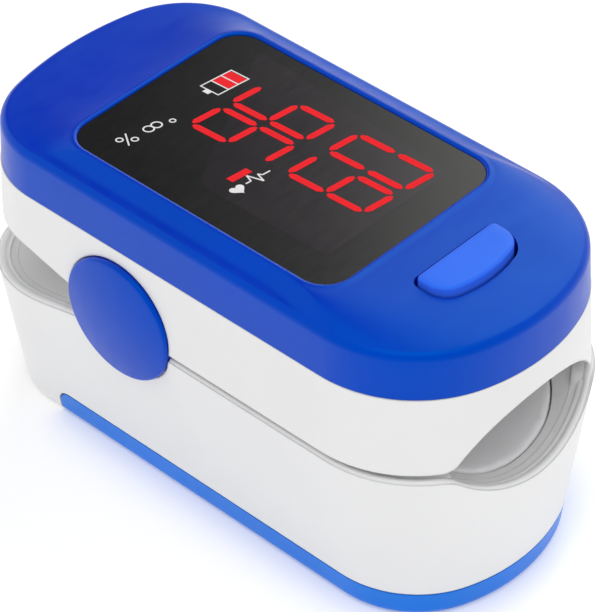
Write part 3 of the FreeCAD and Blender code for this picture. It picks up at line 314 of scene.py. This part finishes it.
BLUE_TINT = (0.0, 0.55, 1.0)
MATERIALS = {
    "white_shell": moulded("white_plastic", (0.745, 0.745, 0.75), 0.34, cloudy=0.015,
                           soft_edge=0.22),
    "blue_shell": moulded("blue_plastic", (0.0, 0.023, 0.45), 0.33, tint=BLUE_TINT, specular=0.85),
    "bright_blue": moulded("bright_blue_plastic", (0.008, 0.16, 0.70), 0.33, tint=BLUE_TINT,
                           soft_edge=0.22),
    "button_blue": moulded("button_blue_plastic", (0.035, 0.14, 0.85), 0.34, tint=BLUE_TINT),
    "tray_white": moulded("tray_plastic", (0.68, 0.68, 0.685), 0.5, 1500, 0.008,
                          cloudy=0.02, soft_edge=0.2),
    "pad_grey": silicone("silicone_grey", (0.74, 0.74, 0.75)),
    "window_black": smoked_window("smoked_acrylic"),
    "display_dark": moulded("display_resin", (0.02, 0.018, 0.02), 0.45),
    "circuit_green": circuit_board("solder_mask"),
    "chip_black": moulded("chip_epoxy", (0.015, 0.015, 0.016), 0.55, 3000, 0.01),
    "switch_steel": metal("switch_steel", (0.62, 0.62, 0.62), 0.35),
    "contact_nickel": metal("contact_nickel", (0.70, 0.68, 0.63), 0.22, (1, 1, 1)),
    "cell_wrap": moulded("cell_wrap", (0.02, 0.024, 0.03), 0.28, 400, 0.01),
    "lens_clear": clear_window("clear_lens"),
    "sensor_dark": moulded("sensor_epoxy", (0.012, 0.008, 0.012), 0.2),
    "lead_amber": moulded("polyimide_film", (0.42, 0.15, 0.02), 0.3, 600, 0.004),
    "screw_steel": metal("screw_steel", (0.55, 0.55, 0.57), 0.3, (1, 1, 1)),
}


def dress_cad_nodes():
    """Give every CAD node the material of its slot."""
    for entry in frame["record"]["subparts"]:
        node = frame["nodes"][entry["node"]]
        node.data.materials.clear()
        node.data.materials.append(MATERIALS[entry["material_slot"]])


dress_cad_nodes()


# ---------------------------------------------------------------- sizes of the upper half

def node_box_mm(node):
    low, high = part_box(node)
    return low / MM, high / MM


SHELL_LOW, SHELL_HIGH = node_box_mm("upper_shell")
COVER_LOW, COVER_HIGH = node_box_mm("top_cover")
WINDOW_LOW, WINDOW_HIGH = node_box_mm("display_window")
BUTTON_LOW, BUTTON_HIGH = node_box_mm("power_button")

FRONT_CORNER = 11.5
FRONT_BOW = 18.5
REAR_CORNER = 8.6
REAR_BOW = 31.0
WINDOW_CORNER = 2.6
STRAIGHT_BOW = 580.0
WALL = 1.2
COVER_DRAFT = 0.04
EDGE_ROUND = 0.8
COVER_LIP = 0.6
CREASE_HEIGHT = 30.4
BUTTON_GAP = 0.3
BUTTON_FLANGE = 0.7
BUTTON_FRONT_CORNER = 2.2
BUTTON_FRONT_BOW = 12.0
BUTTON_REAR_CORNER = 0.6
BUTTON_ROUND = 0.32
BUTTON_DRAFT = 0.03
COVER_FOOT = 0.05


def body_outline(inset):
    """Plan shape of the top cover's lower edge, drawn in by an inset."""
    return plan_outline(
        COVER_HIGH.x - inset, COVER_LOW.y + inset, COVER_HIGH.y - inset,
        FRONT_CORNER - inset, FRONT_BOW - inset, REAR_CORNER - inset, REAR_BOW - inset)


def window_outline(grow=0.0):
    """Plan shape of the window, grown all round."""
    return plan_outline(
        WINDOW_HIGH.x + grow, WINDOW_LOW.y - grow, WINDOW_HIGH.y + grow,
        WINDOW_CORNER + grow, STRAIGHT_BOW, WINDOW_CORNER + grow, STRAIGHT_BOW)


def button_outline(grow=0.0):
    """Plan shape of the button cap: straight behind, bowed in front."""
    return plan_outline(
        BUTTON_HIGH.x - BUTTON_FLANGE + grow, BUTTON_LOW.y + BUTTON_FLANGE - grow,
        BUTTON_HIGH.y - BUTTON_FLANGE + grow, BUTTON_FRONT_CORNER + grow,
        BUTTON_FRONT_BOW + grow, BUTTON_REAR_CORNER + grow, STRAIGHT_BOW, per_side=12)


# ---------------------------------------------------------------- top cover

def roof_rise(share, ahead):
    """Height of the roof over its edge, as a share of the rise: hollow beside the screen,
    and full in front of it, where the button stands."""
    hollow = 0.12 * share + 0.88 * share ** 2.2
    full = 1 - (1 - share) ** 1.7
    return hollow + (full - hollow) * ahead


def ahead_of_screen(y):
    """From 0 beside the screen to 1 in front of it."""
    share = min(max((WINDOW_LOW.y + 4.0 - y) / 8.0, 0.0), 1.0)
    return share * share * (3 - 2 * share)


def roof_rings(edge, edge_height, lip, lip_height, steps):
    """Rings of the roof from its rounded edge to the lip round the screen."""
    rings = []
    for step in range(steps + 1):
        share = step / steps
        ring = []
        for (x, y), (edge_x, edge_y) in zip(between(edge, lip, share), edge):
            rise = roof_rise(share, ahead_of_screen(edge_y))
            ring.append(Vector((x, y, edge_height + (lip_height - edge_height) * rise)) * MM)
        rings.append(ring)
    return rings


def round_over(outline_at, low, radius, turn, steps):
    """Rings of a rounded edge: inwards and up through an angle."""
    rings = []
    for step in range(1, steps + 1):
        angle = turn * step / steps
        inset = radius * (1 - math.cos(angle))
        rings.append(level(outline_at(inset), low + radius * math.sin(angle)))
    return rings


def make_top_cover():
    """Blue top cover: soft edge, hollow sides, rounded lip, and a well for the button."""
    drawn = COVER_DRAFT * (CREASE_HEIGHT - COVER_LOW.z)
    shoulder = CREASE_HEIGHT - 0.5
    turn = math.radians(76)
    foot = COVER_LOW.z + COVER_FOOT
    rings = [level(body_outline(0.0), foot)]
    for step in range(1, 5):
        share = step / 4
        rings.append(level(body_outline(drawn * share), foot + (shoulder - foot) * share))
    rings += round_over(lambda inset: body_outline(drawn + inset), shoulder, EDGE_ROUND, turn, 8)
    edge = body_outline(drawn + EDGE_ROUND * (1 - math.cos(turn)))
    edge_height = shoulder + EDGE_ROUND * math.sin(turn)
    rings += roof_rings(edge, edge_height, window_outline(COVER_LIP), COVER_HIGH.z - 0.05, 28)[1:]
    for grow, height in ((0.42, -0.005), (0.28, 0.0), (0.16, -0.03), (0.08, -0.1), (0.05, -0.22),
                         (0.05, -1.3)):
        rings.append(level(window_outline(grow), COVER_HIGH.z + height))
    inner_roof = CREASE_HEIGHT - WALL
    rings.append(level(window_outline(0.9), inner_roof))
    rings.append(level(body_outline(drawn + WALL), inner_roof))
    rings.append(level(body_outline(WALL), foot))
    vertices, faces = bridge(rings, closed=True)
    cover = new_piece("top_cover_skin", vertices, faces, MATERIALS["blue_shell"])
    cut_button_well(cover)
    return cover


def cut_button_well(cover):
    """Cut the button's hole through the roof."""
    outline = button_outline(BUTTON_GAP)
    vertices, faces = capped([level(outline, COVER_LOW.z + 1.0), level(outline, COVER_HIGH.z + 2.0)])
    cutter = new_piece("button_cutter", vertices, faces, MATERIALS["blue_shell"])
    cut = cover.modifiers.new("well", "BOOLEAN")
    cut.operation = "DIFFERENCE"
    cut.solver = "EXACT"
    cut.object = cutter
    apply_modifiers(cover)
    bpy.data.objects.remove(cutter)


def apply_modifiers(piece):
    """Replace a piece's mesh by what its modifiers make of it."""
    graph = bpy.context.evaluated_depsgraph_get()
    mesh = bpy.data.meshes.new_from_object(piece.evaluated_get(graph))
    piece.modifiers.clear()
    piece.data = mesh
    for polygon in mesh.polygons:
        polygon.use_smooth = True


def sharpen(piece, degrees):
    """Mark edges sharper than an angle, so that flats beside them shade flat."""
    piece.data.set_sharp_from_angle(angle=math.radians(degrees))


top_cover = make_top_cover()
sharpen(top_cover, 50)
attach(top_cover, "upper_half")
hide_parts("top_cover")


def make_button():
    """D-shaped button cap with a softly rounded top edge."""
    draft_start = 30.0
    rings = [level(button_outline(), BUTTON_LOW.z), level(button_outline(), draft_start)]
    shoulder = BUTTON_HIGH.z - BUTTON_ROUND
    rings.append(level(button_outline(-BUTTON_DRAFT), shoulder))
    for step in range(1, 7):
        angle = math.pi / 2 * step / 6
        rings.append(level(button_outline(-BUTTON_DRAFT - BUTTON_ROUND * (1 - math.cos(angle))),
                           shoulder + BUTTON_ROUND * math.sin(angle)))
    top = button_outline(-BUTTON_DRAFT - BUTTON_ROUND)
    middle = [(0.0, (BUTTON_LOW.y + BUTTON_HIGH.y) / 2)] * len(top)
    for share in (0.25, 0.5, 0.8):
        rings.append(level(between(top, middle, share), BUTTON_HIGH.z))
    vertices, faces = capped(rings)
    return new_piece("button_cap", vertices, faces, MATERIALS["button_blue"])


button_cap = make_button()
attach(button_cap, "power_button")
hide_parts("power_button")


# ---------------------------------------------------------------- screen marks

WINDOW_TOP = WINDOW_HIGH.z
MARK_LIFT = 0.012
MARK_DEPTH = 0.02
MARK_RIGHT = Vector((1.0, -0.115))
MARK_UP = Vector((-0.05, 1.0))
RED = lit("lit_red", (0.86, 0.004, 0.012), 1.0)
WHITE = lit("lit_white", (0.80, 0.80, 0.80), 1.0)


def mark_place(origin, x, y):
    """A point of a mark drawn on the window, from its origin in the mark's own slanted axes."""
    place = Vector(origin) + MARK_RIGHT * x + MARK_UP * y
    return place.x, place.y


def flat_marks(name, outlines, material):
    """Thin closed plates over the window, one for each convex outline, as one piece."""
    vertices = []
    faces = []
    for outline in outlines:
        start = len(vertices)
        count = len(outline)
        vertices += level(outline, WINDOW_TOP + MARK_LIFT)
        vertices += level(outline, WINDOW_TOP + MARK_LIFT + MARK_DEPTH)
        faces.append(tuple(reversed(range(start, start + count))))
        faces.append(tuple(range(start + count, start + 2 * count)))
        for step in range(count):
            following = (step + 1) % count
            faces.append((start + step, start + following, start + count + following,
                          start + count + step))
    piece = new_piece(name, vertices, faces, material, smooth=False)
    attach(piece, "upper_half")
    return piece


DIGIT_WIDTH = 3.35
DIGIT_HALF = 4.1
BAR_LENGTH_ACROSS = 2.95
BAR_LENGTH_UP = 3.6
BAR_WIDTH = 0.64
BAR_NOSE = 0.38
SEGMENTS = {
    "top": (0, 2, False), "middle": (0, 1, False), "bottom": (0, 0, False),
    "upper_left": (-1, 1.5, True), "upper_right": (1, 1.5, True),
    "lower_left": (-1, 0.5, True), "lower_right": (1, 0.5, True),
}
LIT = {
    "0": ("top", "bottom", "upper_left", "upper_right", "lower_left", "lower_right"),
    "6": ("top", "middle", "bottom", "upper_left", "lower_left", "lower_right"),
    "9": ("top", "middle", "bottom", "upper_left", "upper_right", "lower_right"),
}


def bar_outline(origin, across, up, upright):
    """One lozenge bar with blunt noses, as slanted points round its middle."""
    length = BAR_LENGTH_UP if upright else BAR_LENGTH_ACROSS
    half = length / 2
    side = BAR_WIDTH / 2
    shoulder = half - BAR_NOSE
    tip = side * 0.35
    local = [(-half, -tip), (-shoulder, -side), (shoulder, -side), (half, -tip),
             (half, tip), (shoulder, side), (-shoulder, side), (-half, tip)]
    if upright:
        local = [(-v, u) for u, v in local]
    return [mark_place(origin, across + u, up + v) for u, v in local]


def digit_bars(digit, left, bottom):
    """Outlines of one lit digit; left and bottom place its lower left bar's middle line."""
    bars = []
    for segment in LIT[digit]:
        side, halves, upright = SEGMENTS[segment]
        across = DIGIT_WIDTH / 2 * (1 + side)
        bars.append(bar_outline((left, bottom), across, halves * DIGIT_HALF, upright))
    return bars


def make_digits():
    """Two rows of two lit digits that read from the finger's end."""
    rows = (("oxygen_digits", "96", -1.62, 0.95), ("pulse_digits", "60", -1.02, -9.72))
    for name, text, left, bottom in rows:
        bars = []
        for index, digit in enumerate(text):
            start = Vector((left, bottom)) + MARK_RIGHT * 4.46 * index
            bars += digit_bars(digit, start.x, start.y + 0.14)
        flat_marks(name, bars, RED)


def make_display_face():
    """The lit module's face, a shade lighter than the window round it."""
    material, tree, shader, place = node_material("display_face")
    haze = noise(tree, place, 200, 4)
    tree.links.new(ramp(tree, haze, (0.011, 0.008, 0.011), (0.016, 0.012, 0.015)),
                   shader.inputs["Base Color"])
    tree.links.new(spread(tree, noise(tree, place, 500, 5, (1, 4, 1)), 0.09, 0.15),
                   shader.inputs["Roughness"])
    corners = ((-7.1, -11.15), (7.6, -11.3), (9.3, 10.9), (8.9, 12.0), (-6.9, 3.4), (-7.4, 2.2))
    vertices = level(corners, WINDOW_TOP + 0.002) + level(corners, WINDOW_TOP + 0.007)
    count = len(corners)
    faces = [tuple(reversed(range(count))), tuple(range(count, 2 * count))]
    for step in range(count):
        following = (step + 1) % count
        faces.append((step, following, count + following, count + step))
    face = new_piece("display_face", vertices, faces, material, smooth=False)
    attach(face, "upper_half")


def rectangle(origin, x, y, width, height):
    """A slanted rectangle of a mark, from its lower left corner."""
    corners = ((x, y), (x + width, y), (x + width, y + height), (x, y + height))
    return [mark_place(origin, *corner) for corner in corners]


def ring_marks(origin, x, y, radius, width, count=20):
    """A thin ring as a chain of short four-sided plates."""
    plates = []
    for step in range(count):
        corners = []
        for reach, turn in ((radius - width, step), (radius, step), (radius, step + 1),
                            (radius - width, step + 1)):
            angle = 2 * math.pi * turn / count
            corners.append(mark_place(origin, x + reach * math.cos(angle),
                                      y + reach * math.sin(angle)))
        plates.append(corners)
    return plates


def stroke(origin, start, end, width):
    """A straight stroke between two points of a mark."""
    along = (Vector(end) - Vector(start)).normalized() * width / 2
    side = Vector((-along.y, along.x))
    corners = (Vector(start) - side, Vector(end) - side, Vector(end) + side, Vector(start) + side)
    return [mark_place(origin, corner.x, corner.y) for corner in corners]


def make_battery_mark():
    """Charge mark: an outlined cell with two of its three bars lit."""
    origin = (2.35, 10.35)
    width = 3.5
    height = 2.12
    line = 0.11
    bar = (width - 2 * line) / 3
    frame_bars = [
        rectangle(origin, 0, 0, width, line),
        rectangle(origin, 0, height - line, width, line),
        rectangle(origin, 0, line, line, height - 2 * line),
        rectangle(origin, width - line, line, line, height - 2 * line),
        rectangle(origin, line + 2 * bar - line / 2, line, line, height - 2 * line),
        rectangle(origin, line + bar - line / 2, line, line, height - 2 * line),
        rectangle(origin, -0.42, height / 2 - 0.32, 0.42, 0.64)]
    flat_marks("battery_outline_mark", frame_bars, WHITE)
    gap = 0.03
    bars = [rectangle(origin, line + bar * index + line / 2 + gap, line + gap,
                      bar - line - 2 * gap, height - 2 * line - 2 * gap) for index in (1, 2)]
    flat_marks("battery_level_mark", bars, RED)


def heart_outline(origin, width, count=36):
    """A heart, anticlockwise from the dip at its top."""
    points = []
    for step in range(count):
        angle = -2 * math.pi * step / count
        across = 16 * math.sin(angle) ** 3
        up = (13 * math.cos(angle) - 5 * math.cos(2 * angle)
              - 2 * math.cos(3 * angle) - math.cos(4 * angle))
        points.append(mark_place(origin, across * width / 32, up * width / 32))
    return points


def make_legends():
    """Plain marks on the screen: a per-cent sign, rings, a heart, a pulse line and a bar."""
    percent = (-7.9, 11.0)
    plates = ring_marks(percent, 0.3, 1.25, 0.34, 0.12) + ring_marks(percent, 1.2, 0.45, 0.34, 0.12)
    plates.append(stroke(percent, (0.25, 0.1), (1.25, 1.6), 0.13))
    for index in range(2):
        plates += ring_marks(percent, 3.0 + 0.85 * index, 0.8, 0.5, 0.13, 24)
    plates += ring_marks(percent, 5.15, 0.35, 0.3, 0.11, 18)
    flat_marks("oxygen_marks", plates, WHITE)
    flat_marks("heart_mark", [heart_outline((-5.75, 0.15), 1.35)], WHITE)
    pulse = (-4.75, -0.15)
    corners = ((0, 0.35), (0.55, 0.35), (0.85, 1.15), (1.25, -0.35), (1.6, 0.7), (1.8, 0.35),
               (2.6, 0.35))
    plates = [stroke(pulse, first, second, 0.13) for first, second in zip(corners, corners[1:])]
    flat_marks("pulse_line_mark", plates, WHITE)
    flat_marks("pulse_bar_mark", [rectangle((-5.35, 1.15), 0, 0, 2.1, 0.72)], RED)


make_display_face()
make_digits()
make_battery_mark()
make_legends()


# ---------------------------------------------------------------- hinge caps

CAP_SIDES = 96
CAP_EDGE = 0.85
CAP_DOME = 0.55
CAP_RIM = 0.28
STUD_RADIUS = 1.2


def cap_profile(radius, seat, stud_end):
    """Half section of a cap, as (distance from the axis, way out): stud, rim and dome."""
    profile = [(STUD_RADIUS, stud_end), (STUD_RADIUS, seat), (radius - 0.2, seat),
               (radius, seat + 0.2), (radius, seat + CAP_EDGE - CAP_RIM)]
    for step in range(1, 7):
        angle = math.pi / 2.3 * step / 6
        profile.append((radius - CAP_RIM * (1 - math.cos(angle)),
                        seat + CAP_EDGE - CAP_RIM + CAP_RIM * math.sin(angle)))
    start_radius, start_height = profile[-1]
    top = seat + CAP_EDGE + CAP_DOME
    for step in range(1, 19):
        share = step / 19
        profile.append((start_radius * (1 - share),
                        start_height + (top - start_height) * (1 - (1 - share) ** 2)))
    return profile


def make_hinge_cap(side, sign):
    """Turned cap with a soft rim and a shallow dome, on its stud."""
    low, high = node_box_mm(f"hinge_cap_{side}")
    radius = (high.y - low.y) / 2
    centre_y = (high.y + low.y) / 2
    centre_z = (high.z + low.z) / 2
    outer = high.x if sign > 0 else -low.x
    stud_end = low.x if sign > 0 else -high.x
    profile = cap_profile(radius, outer - CAP_EDGE - CAP_DOME, stud_end)
    rings = []
    for distance, out in profile:
        ring = []
        for step in range(CAP_SIDES):
            angle = 2 * math.pi * step / CAP_SIDES * sign
            ring.append(Vector((sign * out, centre_y + distance * math.cos(angle),
                                centre_z + distance * math.sin(angle))) * MM)
        rings.append(ring)
    vertices, faces = capped(rings)
    cap = new_piece(f"hinge_cap_{side}_skin", vertices, faces, MATERIALS["blue_shell"])
    sharpen(cap, 60)
    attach(cap, "lower_half")
    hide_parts(f"hinge_cap_{side}")


make_hinge_cap("left", -1)
make_hinge_cap("right", 1)


# ---------------------------------------------------------------- rim of the lower half

LOWER_LOW, LOWER_HIGH = node_box_mm("lower_shell")
HALF_LENGTH = 29.0
LOWER_DRAFT = 0.13
RIM_MIDDLE = 0.6
DECK_EDGE = 1.9


def surface_of(node):
    """A CAD node's surface, to look heights up on."""
    mesh = frame["nodes"][node].data
    return BVHTree.FromPolygons([vertex.co for vertex in mesh.vertices],
                                [tuple(polygon.vertices) for polygon in mesh.polygons])


def height_on(surface, x, y):
    """Height of the first thing straight down from above, in millimetres, or None."""
    hit = surface.ray_cast(Vector((x, y, 40.0)) * MM, Vector((0, 0, -1)))[0]
    return None if hit is None else hit.z / MM


def rim_outline(inset):
    """Plan shape of the lower half at its parting line, drawn in by an inset."""
    return plan_outline(
        LOWER_HIGH.x - inset, inset - HALF_LENGTH, HALF_LENGTH - inset, FRONT_CORNER - inset,
        FRONT_BOW - inset, REAR_CORNER - inset, REAR_BOW - inset,
        per_corner=40, per_bow=48, per_side=80)


def inward(outline):
    """Unit vectors that point into an anticlockwise outline, one for each point."""
    ways = []
    for index in range(len(outline)):
        before = Vector(outline[index - 1])
        after = Vector(outline[(index + 1) % len(outline)])
        along = (after - before).normalized()
        ways.append(Vector((-along.y, along.x)))
    return ways


def rim_heights():
    """Heights of the rim and of the deck inside it, and the draft's inset, round the outline."""
    shell = surface_of("lower_shell")
    tray = surface_of("lower_inner_cover")
    outline = rim_outline(0.0)
    ways = inward(outline)
    parting = max(height_on(shell, x + way.x * RIM_MIDDLE, y + way.y * RIM_MIDDLE) or 0.0
                  for (x, y), way in zip(outline, ways))
    heights = []
    for (x, y), way in zip(outline, ways):
        rim = parting
        for attempt in range(3):
            reach = LOWER_DRAFT * (parting - rim) + RIM_MIDDLE
            rim = height_on(shell, x + way.x * reach, y + way.y * reach) or parting
        drawn = LOWER_DRAFT * (parting - rim)
        reach = drawn + DECK_EDGE
        deck = height_on(tray, x + way.x * reach, y + way.y * reach) or rim
        heights.append((drawn, rim, max(min(deck, rim + 0.05), rim - 0.6)))
    return outline, ways, heights


def rim_ring(profile, outline, ways, heights):
    """Rings along a profile of (inset, share of deck against rim, rise)."""
    rings = []
    for inset, share, rise in profile:
        ring = []
        for (x, y), way, (drawn, rim, deck) in zip(outline, ways, heights):
            reach = drawn + inset
            height = rim + (deck - rim) * share + rise
            ring.append(Vector((x + way.x * reach, y + way.y * reach, height)) * MM)
        rings.append(ring)
    return rings


def make_rim():
    """The bead that runs along the rim, and the edge of the deck inside it."""
    outline, ways, heights = rim_heights()
    bead = [(0.14, 0, -0.4), (0.14, 0, 0.02), (0.19, 0, 0.12), (0.30, 0, 0.19), (0.45, 0, 0.21),
            (0.62, 0, 0.17), (0.78, 0.2, 0.08), (0.9, 0.5, 0.0), (0.9, 0.5, -0.4)]
    deck = [(0.86, 0.5, -0.4), (0.86, 0.5, 0.01), (1.1, 0.9, 0.03), (1.4, 1, 0.03),
            (1.9, 1, 0.02), (1.95, 1, -0.1), (1.95, 1, -0.4)]
    for name, profile, slot in (("lower_rim_bead", bead, "white_shell"),
                                ("lower_deck_edge", deck, "tray_white")):
        rings = rim_ring(list(reversed(profile)), outline, ways, heights)
        vertices, faces = bridge(rings, closed=True)
        piece = new_piece(name, vertices, faces, MATERIALS[slot])
        sharpen(piece, 55)
        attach(piece, "lower_half")


make_rim()


# ---------------------------------------------------------------- finger pads

PAD_VOXEL = 0.28
RIB_PITCH = 2.4
RIB_DEPTH = 0.16


def make_pad(node, body, up):
    """Soft silicone pad: rounded edges, and shallow ribs across the finger's side."""
    pad = bpy.data.objects.new(f"{node}_skin", frame["nodes"][node].data.copy())
    bpy.context.scene.collection.objects.link(pad)
    remesh = pad.modifiers.new("remesh", "REMESH")
    remesh.mode = "VOXEL"
    remesh.voxel_size = PAD_VOXEL * MM
    smooth = pad.modifiers.new("smooth", "SMOOTH")
    smooth.iterations = 5
    apply_modifiers(pad)
    low, high = node_box_mm(node)
    for vertex in pad.data.vertices:
        facing = max(vertex.normal.z * up, 0.0)
        share = (vertex.co.y / MM - low.y - 4.0) / RIB_PITCH
        if share > 0 and facing > 0.3:
            ease = min(share, 1.0)
            dip = RIB_DEPTH * ease * (0.5 - 0.5 * math.cos(2 * math.pi * share))
            vertex.co.z -= dip * facing * up * MM
    pad.data.materials.clear()
    pad.data.materials.append(MATERIALS["pad_grey"])
    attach(pad, body)
    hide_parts(node)


make_pad("lower_finger_pad", "lower_half", 1)
make_pad("upper_finger_pad", "upper_half", -1)


# ---------------------------------------------------------------- floor, light, camera

def make_floor():
    """A wide pale floor that the clip stands on."""
    material, tree, shader, place = node_material("studio_floor")
    tone = ramp(tree, noise(tree, place, 6, 2), (0.93, 0.93, 0.93), (0.95, 0.95, 0.95))
    tree.links.new(tone, shader.inputs["Base Color"])
    shader.inputs["Roughness"].default_value = 0.9
    shader.inputs["Specular IOR Level"].default_value = 0.1
    shader.inputs["Emission Color"].default_value = (1, 1, 1, 1)
    shader.inputs["Emission Strength"].default_value = 0.15
    half = 3.0
    corners = [(-half, -half, 0), (half, -half, 0), (half, half, 0), (-half, half, 0)]
    floor = new_piece("studio_floor", corners, [(0, 1, 2, 3)], material, smooth=False)


def area_light(name, place, target, width, height, power):
    """A soft rectangular studio light."""
    light = bpy.data.lights.new(name, "AREA")
    light.shape = "RECTANGLE"
    light.size = width
    light.size_y = height
    light.energy = power
    lamp = bpy.data.objects.new(name, light)
    bpy.context.scene.collection.objects.link(lamp)
    lamp.location = place
    lamp.rotation_euler = (Vector(target) - Vector(place)).to_track_quat("-Z", "Y").to_euler()


STUDIO_WHITE = 0.95


def studio_world():
    """White studio all round, with one dim side panel that shades into a bright one.

    Seen in the screen and the cover, the panels give their tops a slow gradient. They are
    placed by direction in the room: panel_middle is the way to their middle, and panel_across
    runs level from the dim one to the bright one.
    """
    panel_middle = (0.545, 0.526, 0.653)
    panel_across = (0.695, -0.719, 0.0)
    world = bpy.data.worlds.new("studio")
    bpy.context.scene.world = world
    world.use_nodes = True
    tree = world.node_tree
    place = tree.nodes.new("ShaderNodeTexCoord").outputs["Generated"]

    def measure(direction, low, high):
        along = tree.nodes.new("ShaderNodeVectorMath")
        along.operation = "DOT_PRODUCT"
        along.inputs[1].default_value = direction
        tree.links.new(place, along.inputs[0])
        node = tree.nodes.new("ShaderNodeMapRange")
        node.interpolation_type = "SMOOTHSTEP"
        node.inputs["From Min"].default_value = low
        node.inputs["From Max"].default_value = high
        tree.links.new(along.outputs["Value"], node.inputs["Value"])
        return node.outputs["Result"]

    panels = tree.nodes.new("ShaderNodeValToRGB")
    stops = panels.color_ramp.elements
    stops[0].position = 0.15
    stops[0].color = (0.045, 0.045, 0.05, 1)
    stops[1].position = 0.85
    stops[1].color = (1.0, 1.0, 0.96, 1)
    half_way = stops.new(0.5)
    half_way.color = (0.22, 0.22, 0.22, 1)
    tree.links.new(measure(panel_across, -0.12, 0.14), panels.inputs["Fac"])
    mix = tree.nodes.new("ShaderNodeMix")
    mix.data_type = "RGBA"
    mix.inputs["A"].default_value = (STUDIO_WHITE, STUDIO_WHITE, STUDIO_WHITE, 1)
    tree.links.new(measure(panel_middle, 0.80, 0.90), mix.inputs["Factor"])
    gain = tree.nodes.new("ShaderNodeVectorMath")
    gain.operation = "SCALE"
    gain.inputs["Scale"].default_value = 2.0
    tree.links.new(panels.outputs["Color"], gain.inputs[0])
    tree.links.new(gain.outputs["Vector"], mix.inputs["B"])
    tree.links.new(mix.outputs["Result"], tree.nodes["Background"].inputs["Color"])


def make_lights():
    studio_world()
    middle = (0, 0, 0.02)
    area_light("overhead_softbox", (-0.10, -0.12, 0.55), middle, 0.4, 0.4, 0.45)


def make_camera():
    """A long lens that looks down on the hinge side and the finger opening."""
    camera = bpy.data.cameras.new("camera")
    camera.lens = 194.4
    camera.sensor_width = 36
    camera.clip_start = 0.01
    holder = bpy.data.objects.new("camera", camera)
    bpy.context.scene.collection.objects.link(holder)
    holder.location = Vector((-155.7, -151.5, 203.0)) * MM
    right = Vector((0.68431, -0.72901, -0.01619))
    down = Vector((-0.48535, -0.43880, -0.75624))
    towards = Vector((0.54420, 0.52536, -0.65410))
    holder.rotation_euler = Matrix((right, -down, -towards)).transposed().to_euler()
    bpy.context.scene.camera = holder


make_floor()
make_lights()
make_camera()
bpy.context.scene.view_settings.view_transform = "Standard"
